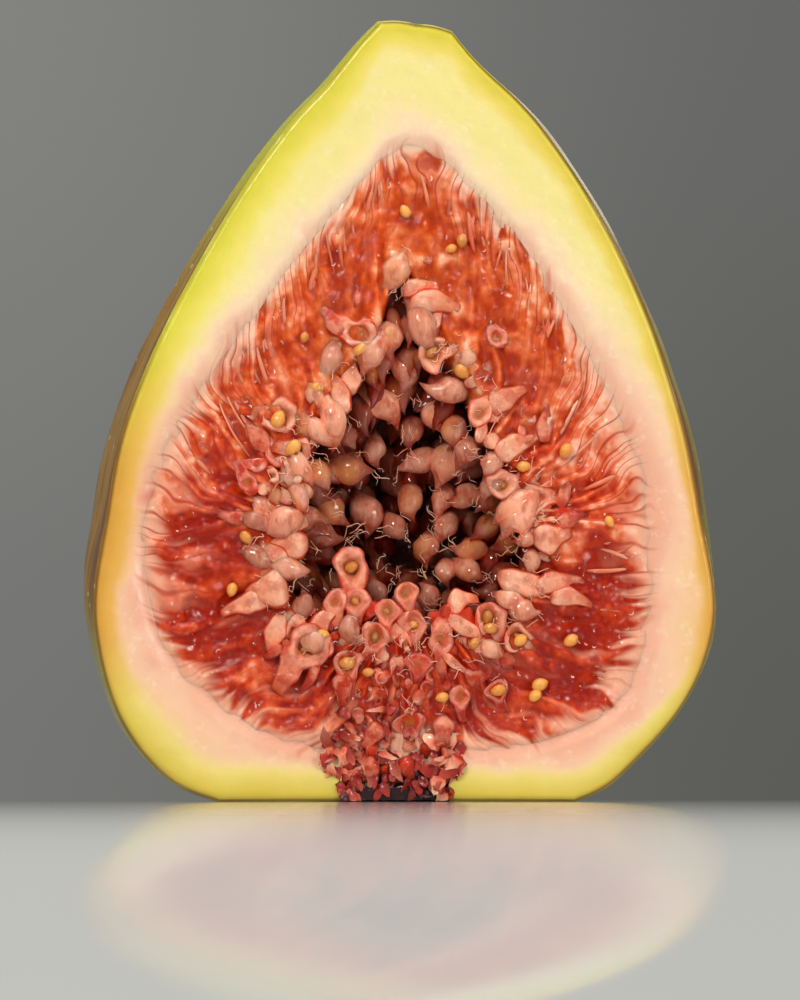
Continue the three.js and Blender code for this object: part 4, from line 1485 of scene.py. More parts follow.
@dataclass
class CutFlorets:
    """Florets that the knife laid open: a flat pale face with a red rim, and the seed's cup in it."""

    fine: tuple[int, int, int] = (26, 17, 7)  # steps along, points over the face, points behind
    plain: tuple[int, int, int] = (14, 9, 3)
    profile: tuple[tuple[float, float], ...] = (
        (0, 0.3), (0.15, 0.45), (0.4, 0.7), (0.62, 1.0), (0.78, 0.97), (0.9, 0.7), (1, 0.3),
    )

    def from_rule(self) -> tuple[Array, Array, Array, Array, Array, Array]:
        """Florets in the band, in lanes between the ones that the photograph names."""
        taken = np.array([s.place() for s in CUT_SPOTS + WHOLE_SPOTS])
        rows = []
        for count, share, size, tone, first in (
            (54, 0.93, 0.85, 0.15, 300), (50, 0.78, 0.8, 0.3, 400), (30, 0.6, 0.7, 0.75, 500),
        ):
            n = np.arange(count) + first
            angle = -math.pi / 2 + 2 * math.pi * (n - first + 0.9 * draw(n, 71)) / count
            way = share + 0.14 * (draw(n, 72) - 0.5)
            place = strand_point(angle, way)
            free = clearance(place, taken) > 1.15
            keep = free & (place[:, 1] > 6.0)
            taken = np.concatenate([taken, place[keep]])
            tones = np.clip(tone + 0.4 * (draw(n, 74) - 0.5), 0, 1)
            sizes = size * spread(n, 73, 0.6, 1.3)
            row = np.concatenate([place, strand_heading(angle, way)], axis=1)
            rows.append(np.concatenate([row, sizes[:, None], tones[:, None]], axis=1)[keep])
        found = np.concatenate(rows)
        place, run, size, tone = found[:, :2], found[:, 2:4], found[:, 4], found[:, 5]
        n = np.arange(len(place)) + 700
        turn = 1.6 * (draw(n, 75) - 0.5)
        side = np.stack([-run[:, 1], run[:, 0]], axis=1)
        heading = run * np.cos(turn)[:, None] + side * np.sin(turn)[:, None]
        length = 3.7 * size * spread(n, 76, 0.8, 1.3)
        width = 0.85 * size * spread(n, 77, 0.7, 1.15)
        seed = np.where(draw(n, 78) < 0.3, spread(n, 79, 0.5, 1.0), 0)
        return place, heading, length, width, tone, seed

    def from_heap(self) -> tuple[Array, Array, Array, Array, Array, Array]:
        """The heap of small red florets between the hollow and the eye."""
        places = []
        for row in range(12):
            half = max(9.6 - row * 0.75, 3.2)
            count = round(2 * half / 1.4)
            n = np.arange(count) + 800 + 40 * row
            x = -half + 2 * half * (np.arange(count) + 0.5 + 0.8 * (draw(n, 81) - 0.5)) / count
            places.append(np.stack([x, 13.6 - row * 1.0 + 1.0 * (draw(n, 82) - 0.5)], axis=1))
        place = np.concatenate(places)
        taken = np.array([s.place() for s in CUT_SPOTS])
        free = clearance(place, taken) > 1.2
        place = place[free]
        n = np.arange(len(place)) + 1200
        turn = math.pi / 2 + 1.7 * (draw(n, 83) - 0.5) + 0.07 * place[:, 0]
        heading = np.stack([np.cos(turn), np.sin(turn)], axis=1)
        size = spread(n, 84, 0.5, 1.0)
        seed = np.where(draw(n, 85) < 0.3, spread(n, 86, 0.4, 1.0), 0)
        return place, heading, 2.7 * size, 0.8 * size, spread(n, 87, 0.6, 1.5), seed

    def from_spots(self) -> tuple[Array, Array, Array, Array, Array, Array]:
        """The ones that the photograph shows."""
        return (
            np.array([s.place() for s in CUT_SPOTS]),
            np.array([s.heading() for s in CUT_SPOTS]),
            np.array([s.length for s in CUT_SPOTS]) * PIXEL,
            np.array([s.width for s in CUT_SPOTS]) * PIXEL / 2,
            np.clip(
                [
                    s.tone + 0.45 * float(smoothstep(590, 650, s.y)) * (abs(s.x - 400) < 110)
                    for s in CUT_SPOTS
                ],
                0,
                1,
            ),
            np.array([s.seed for s in CUT_SPOTS]),
        )

    def bodies(
        self, group: tuple, proud: Array, sink: float, grid: tuple[int, int, int], first: int
    ) -> tuple:
        """Closed bodies with a flat front.

        Along a bowed line on the cut face, each section is a face from side to side and half an
        ellipse behind it. The face is slightly crowned, its outline wavers with noise, its root
        sinks below its neighbours, and where the seed was it is hollowed by an oval cup with a
        raised lip: both fall off with the smooth distance from the oval's middle.

        Args:
            group: Middles on the cut face, directions from root to tip, lengths, half-widths,
                tones from 0, pale, to 1, red, and cups from 0, none, to 1.
            proud: How far each face stands out of the knife's plane.
            sink: How much deeper a root lies than its head.
            grid: Steps along, points over the face and points behind.
            first: The first number for the draws.

        Returns:
            Points, quads, triangles and the values of each point.
        """
        place, heading, length, width, tone, seed = group
        steps, over, behind = grid
        bodies = len(place)
        n = np.arange(bodies) + first
        normal = np.stack([-heading[:, 1], heading[:, 0]], axis=1)
        s = np.linspace(0, 1, steps)
        bend = (length * spread(n, 91, -0.5, 0.5))[:, None, None]
        line = place[:, None] + heading[:, None] * (length[:, None] * (s - 0.58))[..., None]
        line = line + normal[:, None] * bend * ((s - 0.5) ** 2)[None, :, None]
        half = swelling(self.profile, steps)[None] * width[:, None]
        u = np.linspace(1, -1, over)
        psi = np.linspace(math.pi, 2 * math.pi, behind + 2)[1:-1]
        across = np.concatenate([u, np.cos(psi)])
        is_face = np.concatenate([np.ones(over), np.zeros(behind)])
        depth = np.concatenate([0 * u, -np.sin(psi)])
        wander = np.stack(
            np.broadcast_arrays(
                length[:, None, None] * s[None, :, None] / 0.9, 1.3 * across, 3.7 * n[:, None, None]
            ),
            axis=-1,
        )
        half = half[..., None] * (1 + 0.36 * noise(wander, 1.0, 25))
        spot = s[None] - 0.66
        rho = np.sqrt(
            (spot * length[:, None] / (width[:, None] * 0.9))[..., None] ** 2
            + (np.concatenate([u, 3 + 0 * psi]) / 0.74)[None, None] ** 2
        )
        rho = rho * (1 + 0.28 * noise(wander * [1.5, 1, 1], 1.0, 27))
        full = np.minimum(1, 1.6 * seed)[:, None, None]
        cup = (1 - smoothstep(0.25, 1.05, rho)) * full
        lip = np.exp(-(((rho - 1.12) / 0.2) ** 2)) * full
        crown = -0.3 * (1 - np.concatenate([u, 0 * psi]) ** 4) * is_face * (1 - full)
        y = crown * half + (0.42 * width)[:, None, None] * cup - 0.06 * lip + 1.1 * half * depth
        offset = half * across
        x = line[:, :, None, 0] + normal[:, None, None, 0] * offset
        z = line[:, :, None, 1] + normal[:, None, None, 1] * offset
        level = (CUT_Y - proud)[:, None] + sink * (1 - s[None]) ** 2
        level = level + 0.3 * np.clip((s[None] - 0.85) / 0.15, 0, 1) ** 2
        points = np.stack([x, y + level[..., None], z], axis=-1)
        points[..., 1] += 0.2 * noise(points, 0.9, 23) + 0.08 * noise(points, 0.4, 24)
        points[..., 1] = np.maximum(points[..., 1], CUT_Y - PROUD_LIMIT)
        ring = over + behind
        body = points[:, 1:-1].reshape(bodies, -1, 3)
        ends = np.stack([line[:, 0], line[:, -1]], axis=1)
        end_y = level[:, [0, -1]] + 0.4 * width[:, None]
        poles = np.stack([ends[..., 0], end_y, ends[..., 1]], axis=-1)
        every = np.concatenate([body, poles], axis=1)
        inner = steps - 2
        quads = grid_quads(inner, ring, closed=True, flip=True)
        j, count = np.arange(ring), every.shape[1]
        nxt = (j + 1) % ring
        last = (inner - 1) * ring
        fans = np.concatenate(
            [
                np.stack([np.full(ring, count - 2), j, nxt], axis=1),
                np.stack([np.full(ring, count - 1), last + nxt, last + j], axis=1),
            ]
        )
        shift = np.arange(bodies)[:, None, None] * count

        def flat(values: Array) -> Array:
            """A value for each ring point, with the poles' own at the end."""
            whole = np.broadcast_to(values, (bodies, steps, ring))[:, 1:-1].reshape(bodies, -1)
            return np.concatenate([whole, np.zeros((bodies, 2))], axis=1)

        edge = np.abs(np.concatenate([u, 1 + 0 * psi])) ** 5
        end = np.abs(2 * s[:, None] - 1) ** 10
        values = {
            "face": flat(is_face[None, None]),
            "rim": flat(np.maximum(edge[None, None], end[None])),
            "cup": flat(cup),
            "lip": flat(lip),
            "along": flat(s[None, :, None]),
            "tone": np.broadcast_to(tone[:, None], (bodies, count)),
        }
        return every, quads[None] + shift, fans[None] + shift, values

    def build(self) -> Piece:
        """Makes all of them as one piece."""
        surface = Surface()
        for group, low, high, sink, grid, first in (
            (self.from_spots(), 0.15, 0.5, 0.5, self.fine, 2000),
            (self.from_rule(), -0.3, 0.45, 0.9, self.plain, 2100),
            (self.from_heap(), -0.5, 0.3, 0.9, self.plain, 2500),
        ):
            n = np.arange(len(group[0])) + first
            points, quads, fans, values = self.bodies(group, spread(n, 95, low, high), sink, grid, first)
            surface.add(points, quads, fans, **values)
        return surface.made("pulp_cut_florets", self.finish(), ["pulp"])

    def finish(self) -> Material:
        """Soft, half clear flesh with a wet cut face."""
        wet = Wet(roughness=0.5, scatter=0.95, scatter_mm=1.0, scatter_tint=FLORET_TINT, film=0.85,
                  film_roughness=0.04, ior=1.12, bump_mm=0.12)
        return wet.material("fig_cut_florets", self.colour, lambda tree: mottle(tree, 0.32, 3.0))

    def colour(self, tree: Tree) -> Socket:
        """White pink inside, red along the rim and behind, amber brown in the cup, and a pale edge on the
        face that is partly pale membrane and partly a painted highlight.
        """
        face, rim, cup, lip, along, tone = (
            add(tree, Step.OWN, attribute_name=k) for k in ("face", "rim", "cup", "lip", "along", "tone")
        )
        pale = add(tree, Step.RAMP, along, {0.0: "#cc4c28", 0.35: "#ee946e", 0.8: "#f8b494", 1.0: "#de6e4c"})
        deep = add(tree, Step.RAMP, along, {0.0: "#961200", 0.4: "#b62406", 0.8: "#c43814", 1.0: "#a01800"})
        cloud = add(tree, Step.SPAN, mottle(tree, 0.9, 3.0), 0.38, 0.66)
        inside = add(
            tree,
            Step.MIX,
            add(tree, Step.PLUS, tone, add(tree, Step.SPAN, cloud, 0.0, 1.0, -0.15, 0.25)),
            pale,
            deep,
        )
        outer = add(tree, Step.MIX, tone, "#c8401e", "#a01602")
        body = add(
            tree, Step.MIX, add(tree, Step.TIMES, face, add(tree, Step.SPAN, rim, 0.7, 0.2)), outer, inside
        )
        fleck = add(tree, Step.SPAN, mottle(tree, 0.6, 3.0, (1, 1, 1.6), 0.2), 0.5, 0.7)
        fleck = add(tree, Step.TIMES, fleck, add(tree, Step.SPAN, tone, 0.0, 1.0, 0.15, 0.5))
        body = add(tree, Step.MIX, fleck, body, "#b02408")
        body = add(tree, Step.MIX, add(tree, Step.TIMES, lip, 0.25), body, "#f3c4b0")
        # pale membrane edge and painted highlight: pale pink along the face's outline, more on the red
        # florets
        thin = add(
            tree,
            Step.TIMES,
            add(tree, Step.SPAN, rim, 0.35, 0.8),
            add(tree, Step.SPAN, mottle(tree, 0.8, 2.0), 0.4, 0.6),
        )
        thin = add(tree, Step.TIMES, thin, add(tree, Step.SPAN, tone, 0.3, 0.8))
        body = add(
            tree, Step.MIX, add(tree, Step.TIMES, add(tree, Step.TIMES, thin, face), 0.4), body, "#f2b8a4"
        )
        return add(tree, Step.MIX, add(tree, Step.SPAN, cup, 0.2, 1.0, 0.0, 0.85), body, "#a8541c")


@dataclass
class Seeds:
    """The small amber seeds that lie open on the cut face or sit in a cup."""

    steps: int = 8
    sides: int = 9

    def build(self) -> Piece:
        """Makes each seed as a short drop, as round as an egg, with its point to one side."""
        spots = np.array(SEED_SPOTS, float)
        open_place = np.stack(
            [(spots[:, 0] - AXIS_PIXEL) * PIXEL, (BASE_PIXEL - spots[:, 1]) * PIXEL], axis=1
        )
        open_size = spots[:, 2] * PIXEL * 0.44
        cups = [s for s in CUT_SPOTS if s.seed > 0.55]
        cup_place = np.array([s.place() + s.heading() * s.length * PIXEL * 0.08 for s in cups])
        cup_size = np.array([min(s.width * 0.19, 7) for s in cups]) * PIXEL
        place = np.concatenate([open_place, cup_place])
        size = np.concatenate([open_size, cup_size])
        lift = np.concatenate([np.full(len(open_place), 0.1), np.full(len(cup_place), -0.3)])
        n = np.arange(len(place)) + 3000
        turn = 2 * math.pi * draw(n, 101)
        aim = np.stack([np.cos(turn), 0.3 * (draw(n, 102) - 0.5), np.sin(turn)], axis=1)
        middle = on_plane(place, CUT_Y - lift)
        long = size[:, None] * 1.15
        spine = bowed(middle - aim * long, middle, middle + aim * long, self.steps)
        ovals = swelling(((0, 0), (0.12, 0.62), (0.4, 1.0), (0.7, 0.85), (0.9, 0.45), (1, 0)), self.steps)
        points, quads, fans, along, _ = tubes(spine, ovals[None] * size[:, None] * 0.92, self.sides, 0.9)
        surface = Surface()
        tint = 0.55 * draw(n, 103) + 0.45 * (lift < 0)
        surface.add(points, quads, fans, along=along, tint=np.broadcast_to(tint[:, None], along.shape))
        return surface.made("pulp_seeds", self.finish(), ["pulp"])

    def finish(self) -> Material:
        """Hard, glassy seed coats that glow amber where light gets in."""
        wet = Wet(
            roughness=0.3, scatter=0.6, scatter_mm=0.5, scatter_tint=(1.0, 0.55, 0.2), film=0.8, bump_mm=0.02
        )
        return wet.material("fig_seeds", self.colour, lambda tree: mottle(tree, 0.3, 2.0))

    def colour(self, tree: Tree) -> Socket:
        """From straw to deep orange, each seed in its own tint."""
        tint = add(tree, Step.OWN, attribute_name="tint")
        base = add(tree, Step.RAMP, tint, {0.0: "#f3aa4a", 0.4: "#ea943c", 0.6: "#c9782c", 1.0: "#9a5420"})
        cloud = add(tree, Step.SPAN, mottle(tree, 0.5, 2.0), 0.4, 0.7)
        return add(tree, Step.MIX, add(tree, Step.TIMES, cloud, 0.35), base, "#f2b869")


@dataclass
class Styles:
    """The fine curled threads at the florets' tips."""

    count: int = 460
    steps: int = 24
    sides: int = 4

    def build(self) -> Piece:
        """Makes each thread as a loosening curl: a circle whose radius and lean grow along it."""
        n = np.arange(self.count) + 4000
        named = np.array([s.place() + s.heading() * s.length * PIXEL * 0.5 for s in WHOLE_SPOTS + CUT_SPOTS])
        angle = 2 * math.pi * draw(n, 111)
        ringed = HOLLOW_RING.point(angle, spread(n, 112, -1.0, 3.4))
        choice = (np.arange(self.count) * 7) % len(named)
        jitter = np.stack([draw(n, 113) - 0.5, draw(n, 114) - 0.5], axis=1)
        place = np.where((draw(n, 115) < 0.45)[:, None], named[choice] + jitter * 0.8, ringed)
        inside = smoothstep(0.5, -2.5, HOLLOW_RING.beyond(place))
        y = CUT_Y - spread(n, 116, 0.0, 0.5) + 2.2 * inside
        root = on_plane(place, y)
        run = unit(np.stack([-place[:, 0], 0.6 * (HEART_Z - place[:, 1])], axis=1))
        turn = 2.4 * (draw(n, 117) - 0.5)
        aim = np.stack(
            [
                run[:, 0] * np.cos(turn) - run[:, 1] * np.sin(turn),
                -0.35 * draw(n, 118),
                run[:, 0] * np.sin(turn) + run[:, 1] * np.cos(turn),
            ],
            axis=1,
        )
        aim = unit(aim)
        side = unit(np.cross(aim, FACE))
        length = spread(n, 119, 0.7, 2.0)[:, None, None]
        curl = spread(n, 120, 0.1, 0.28)[:, None, None]
        turns = spread(n, 121, 2.5, 7.0)[:, None, None]
        s = np.linspace(0, 1, self.steps)[None, :, None]
        phase = turns * s**1.6
        spine = root[:, None] + aim[:, None] * (s - 0.35 * s**2) * length
        spine = spine + curl * s * (np.sin(phase) * side[:, None] + (np.cos(phase) - 1) * FACE * 0.6)
        spine[..., 1] = np.maximum(spine[..., 1], CUT_Y - PROUD_LIMIT)
        taper = swelling(((0, 1), (0.5, 0.8), (1, 0.45)), self.steps)
        radius = spread(n, 122, 0.02, 0.045)[:, None] * taper[None]
        points, quads, fans, along, _ = tubes(spine, radius, self.sides)
        surface = Surface()
        surface.add(
            points, quads, fans, along=along, tint=np.broadcast_to(draw(n, 123)[:, None], along.shape)
        )
        return surface.made("pulp_styles", self.finish(), ["pulp"])

    def finish(self) -> Material:
        """Pale, half dry threads."""
        wet = Wet(roughness=0.4, scatter=0.5, scatter_mm=0.3, film=0.4)
        return wet.material("fig_styles", self.colour)

    def colour(self, tree: Tree) -> Socket:
        """Pink where they leave the floret, cream at the curl."""
        pale = add(
            tree,
            Step.RAMP,
            add(tree, Step.OWN, attribute_name="along"),
            {0.0: "#d88066", 0.35: "#ecb096", 1.0: "#f6d8bc"},
        )
        return add(
            tree,
            Step.MIX,
            add(tree, Step.SPAN, add(tree, Step.OWN, attribute_name="tint"), 0.5, 0.9),
            pale,
            "#e0a27c",
        )


def leaves(surface: Surface, foot: Array, aim: Array, size: Array, shade: Array, first: int) -> None:
    """Adds thin curled scales: flattened bodies on bowed paths, wide in the middle and pointed.

    Args:
        surface: Where they go.
        foot: (scales, 3) points where they grow from.
        aim: (scales, 3) directions.
        size: (scales, 2) lengths and half-widths.
        shade: 0 for pale pink ones, 1 for dark ones.
        first: The first number for the draws.
    """
    n = np.arange(len(foot)) + first
    aim = unit(aim)
    side = unit(np.cross(aim, unit(np.stack([draw(n, 151) - 0.5, -1 + 0 * n, draw(n, 152) - 0.5], axis=1))))
    over = np.cross(side, aim)
    length = size[:, :1]
    bow = over * length * spread(n, 153, 0.1, 0.45)[:, None]
    bow = bow + side * length * (draw(n, 154)[:, None] - 0.5) * 0.6
    tip = foot + aim * length - over * length * spread(n, 155, 0.0, 0.35)[:, None]
    spine = bowed(foot, foot + aim * length * 0.5 + bow, tip, LEAF_STEPS)
    leaf = swelling(((0, 0.4), (0.3, 0.95), (0.6, 0.9), (0.85, 0.5), (1, 0.1)), LEAF_STEPS)
    radius = leaf[None] * size[:, 1:] * (1 + 0.15 * np.sin(np.arange(LEAF_STEPS)[None] * 1.9 + n[:, None]))
    points, quads, fans, along, turn = tubes(spine, radius, LEAF_SIDES, 0.11, side)
    cupped = 0.35 * size[:, 1:] * np.cos(turn) ** 2 * np.sin(math.pi * along) ** 0.5
    points = points + cupped[..., None] * over[:, None]
    points = points + 0.13 * noise(points, 0.7, 31)[..., None] * np.array([0.5, 0.5, 1.0])
    points[..., 1] = np.maximum(points[..., 1], CUT_Y - 0.55)
    points[..., 2] = np.maximum(points[..., 2], 0.06)
    surface.add(points, quads, fans, along=along, shade=np.broadcast_to(shade[:, None], along.shape))


def scale_material(name: str) -> Material:
    """Dry, leathery scales with a damp gloss: wine red to black at the mouth, pink buff above."""

    def colour(tree: Tree) -> Socket:
        """Paler towards the tip, and mottled."""
        along, shade = (add(tree, Step.OWN, attribute_name=k) for k in ("along", "shade"))
        pale = add(tree, Step.RAMP, along, {0.0: "#b83018", 0.4: "#d86a4a", 0.8: "#f0b090", 1.0: "#f6d0b0"})
        wine = add(tree, Step.RAMP, along, {0.0: "#6c0806", 0.5: "#98180c", 1.0: "#c03c26"})
        dark = add(tree, Step.RAMP, along, {0.0: "#30060a", 0.5: "#1e0508", 1.0: "#4a0f16"})
        base = add(tree, Step.MIX, add(tree, Step.SPAN, shade, 0.15, 0.5), pale, wine)
        base = add(tree, Step.MIX, add(tree, Step.SPAN, shade, 0.6, 0.95), base, dark)
        return add(
            tree, Step.MIX, add(tree, Step.SPAN, mottle(tree, 0.8, 3.0), 0.5, 0.8, 0.0, 0.35), base, "#a02a26"
        )

    wet = Wet(roughness=0.4, scatter=0.5, scatter_mm=0.4, film=0.5, film_roughness=0.07, bump_mm=0.05)
    return wet.material(name, colour, lambda tree: mottle(tree, 0.35, 3.0))


@dataclass
class Films:
    """The small torn films that stand up all over the wet pulp and catch the light."""

    count: int = 700
    steps: int = 7
    sides: int = 4

    def build(self) -> Piece:
        """Makes each film as an arc of a small circle, part of a turn long, that leans out of the face."""
        n = np.arange(self.count) + 6000
        angle = -math.pi / 2 + 2 * math.pi * draw(n, 191)
        share = draw(n, 192) ** 0.75 * 1.04 - 0.02
        place = strand_point(angle, share)
        width = band_width(angle)
        keep = share * width > 0.8
        n, angle, share, place = n[keep], angle[keep], share[keep], place[keep]
        run = strand_heading(angle, share)
        turn = 2 * math.pi * draw(n, 193)
        aim = unit(np.stack([np.cos(turn) + run[:, 0], -0.3 + 0 * turn, np.sin(turn) + run[:, 1]], axis=1))
        side = unit(
            np.cross(aim, FACE + 0.5 * np.stack([draw(n, 194) - 0.5, 0 * turn, draw(n, 195) - 0.5], axis=1))
        )
        size = spread(n, 196, 0.07, 0.22)[:, None, None]
        bend = spread(n, 197, 0.6, 3.2)[:, None, None]
        s = np.linspace(-0.5, 0.5, self.steps)[None, :, None]
        arc = np.sin(bend * s) * aim[:, None] + (np.cos(bend * s) - np.cos(bend / 2)) * side[:, None]
        depth = CUT_Y + spread(n, 198, -0.05, 0.35) + 0.25 * smoothstep(0.1, 0.5, share)
        depth = depth - 0.4 * smoothstep(0.7, 0.9, share)
        spine = on_plane(place, depth)[:, None] + size * arc
        taper = swelling(((0, 0.5), (0.5, 1), (1, 0.4)), self.steps)
        radius = spread(n, 199, 0.02, 0.05)[:, None] * taper[None]
        points, quads, fans, along, _ = tubes(spine, radius, self.sides, 1.6)
        surface = Surface()
        tint = np.broadcast_to(draw(n, 200)[:, None], along.shape)
        surface.add(points, quads, fans, along=along, tint=tint)
        return surface.made("pulp_films", self.finish(), ["pulp"])

    def finish(self) -> Material:
        """Thin, glassy films, almost clear."""
        wet = Wet(roughness=0.22, scatter=0.4, scatter_mm=0.2, film=1.0, film_roughness=0.04)
        return wet.material("fig_films", self.colour)

    def colour(self, tree: Tree) -> Socket:
        """From salmon to the colour of cream; the cream is partly the films' own pale colour and partly a
        painted highlight.
        """
        # partly painted highlight: the cream end stands in for glints as well as for the films' own pale
        # colour
        return add(
            tree,
            Step.RAMP,
            add(tree, Step.OWN, attribute_name="tint"),
            {0.0: "#cc5f48", 0.4: "#e3927c", 0.75: "#f0b9a3", 1.0: "#fbe0d0"},
        )


@dataclass
class MouthScales:
    """The papery pink scales above the eye, at the lower end of the pulp."""

    count: int = 90

    def build(self) -> Piece:
        """Scatters them over the gap between the two ends of the flesh, aimed down and inwards."""
        n = np.arange(self.count) + 5000
        x = EYE_X + 5.2 * (2 * draw(n, 161) - 1)
        z = spread(n, 162, 3.4, 7.4) - 0.03 * (x - EYE_X) ** 2
        foot = np.stack([x, CUT_Y + spread(n, 163, 0.1, 1.1), z], axis=1)
        aim = np.stack(
            [
                -0.25 * (x - EYE_X) + 1.6 * (draw(n, 164) - 0.5),
                -0.3 * draw(n, 165),
                -spread(n, 166, 0.1, 1.2),
            ],
            axis=1,
        )
        size = np.stack([spread(n, 167, 0.8, 1.8), spread(n, 168, 0.18, 0.45)], axis=1)
        surface = Surface()
        leaves(surface, foot, aim, size, spread(n, 169, 0.15, 0.75), 5000)
        return surface.made("pulp_mouth_scales", scale_material("fig_mouth_scales"), ["pulp"])


@dataclass
class EyeScales:
    """The scales that close the eye, black and glossy at the base, wine red and pink inside."""

    plug_radius: float = 3.6
    plug_turns: int = 56

    def build(self) -> Piece:
        """Makes the whorls in the bore, a bank of curled scales on each side, and the plug."""
        surface = Surface()
        middle = np.array([EYE_X, EYE_Y, 0.0])
        for count, out, z, rise, length, shade in (
            (14, 3.4, 0.5, 0.1, 3.0, 1.0), (13, 3.5, 1.3, 0.3, 2.6, 0.8), (12, 3.6, 2.1, 0.6, 2.4, 0.55),
            (12, 3.6, 2.9, 1.0, 2.2, 0.45),
        ):
            n = np.arange(count) + round(z * 10) * 30
            turn = 2 * math.pi * (np.arange(count) + 0.5 * draw(n, 131)) / count
            foot = middle + np.stack([out * np.cos(turn), out * np.sin(turn), z + 0.3 * draw(n, 132)], axis=1)
            keep = foot[:, 1] > CUT_Y
            aim = np.stack([-np.cos(turn), -np.sin(turn), rise + 0.5 * (draw(n, 133) - 0.5)], axis=1)
            size = np.stack([length * spread(n, 134, 0.75, 1.1), spread(n, 135, 0.6, 0.95)], axis=1)
            leaves(
                surface, foot[keep], aim[keep], size[keep], np.full(int(keep.sum()), shade), round(z * 100)
            )
        for side, first in ((-1, 5200), (1, 5300)):
            n = np.arange(36) + first
            z = 0.5 + 4.0 * (n - first) / 36
            foot = np.stack(
                [
                    EYE_X + side * (3.3 + 1.9 * draw(n, 171) ** 1.6 * (0.5 + z / 6)),
                    CUT_Y + spread(n, 172, -0.25, 0.6),
                    z,
                ],
                axis=1,
            )
            aim = np.stack(
                [side * spread(n, 173, -1.0, 0.35), -0.3 * draw(n, 174), spread(n, 175, -1.0, 0.5)], axis=1
            )
            size = np.stack([spread(n, 176, 0.9, 2.0), spread(n, 177, 0.25, 0.6)], axis=1)
            leaves(surface, foot, aim, size, spread(n, 178, 0.0, 0.6) + 0.3 * (z < 0.9), first)
        n = np.arange(64) + 5400
        foot = np.stack(
            [
                EYE_X + 3.4 * (2 * draw(n, 181) - 1),
                CUT_Y + spread(n, 182, 0.1, 2.2),
                spread(n, 183, 1.5, 4.2),
            ],
            axis=1,
        )
        aim = np.stack([draw(n, 184) - 0.5, -0.3 * draw(n, 185), -1 + 0 * n], axis=1)
        size = np.stack([spread(n, 186, 0.8, 2.2), spread(n, 187, 0.2, 0.5)], axis=1)
        leaves(surface, foot, aim, size, spread(n, 188, 0.3, 0.75), 5400)
        n = np.arange(34) + 5500
        foot = np.stack(
            [
                EYE_X + 3.6 * (2 * draw(n, 211) - 1),
                CUT_Y + spread(n, 212, -0.2, 0.3),
                spread(n, 213, 1.3, 2.4),
            ],
            axis=1,
        )
        aim = np.stack([1.4 * (draw(n, 214) - 0.5), -0.2 * draw(n, 215), -1 + 0 * n], axis=1)
        size = np.stack([spread(n, 216, 0.6, 1.5), spread(n, 217, 0.15, 0.38)], axis=1)
        leaves(surface, foot, aim, size, spread(n, 218, 0.35, 1.0), 5500)
        self.plug(surface)
        return surface.made("eye_scales_fine", scale_material("fig_eye_scales"), ["eye_scales"])

    def plug(self, surface: Surface) -> None:
        """Adds the dark disc of pressed scales in the eye's mouth.

        It is a round body whose radius rises and falls with its height, with folds from its middle
        outwards, cut off flat at the knife's plane.
        """
        turn = np.linspace(0, 2 * math.pi, self.plug_turns, endpoint=False)[None]
        share = np.array([0.02, 0.5, 0.85, 1.0, 0.97, 0.8, 0.5, 0.02])[:, None]
        z = np.array([0.12, 0.12, 0.12, 0.35, 0.9, 1.15, 1.3, 1.4])[:, None]
        radius = self.plug_radius * share * (1 + 0.02 * np.sin(7 * turn))
        x = EYE_X + radius * np.cos(turn)
        y = np.maximum(EYE_Y + radius * np.sin(turn), CUT_Y + 0.15)
        height = z + (z > 0.3) * (0.16 * np.sin(9 * turn + 3 * share) - 0.3 * np.sin(4 * turn + 1.0) ** 2)
        points = np.stack([x, y, height], axis=-1)
        shape = points.shape[:2]
        surface.add(
            points,
            grid_quads(8, self.plug_turns, closed=True),
            shade=np.full(shape, 1.0),
            along=np.full(shape, 0.3),
        )


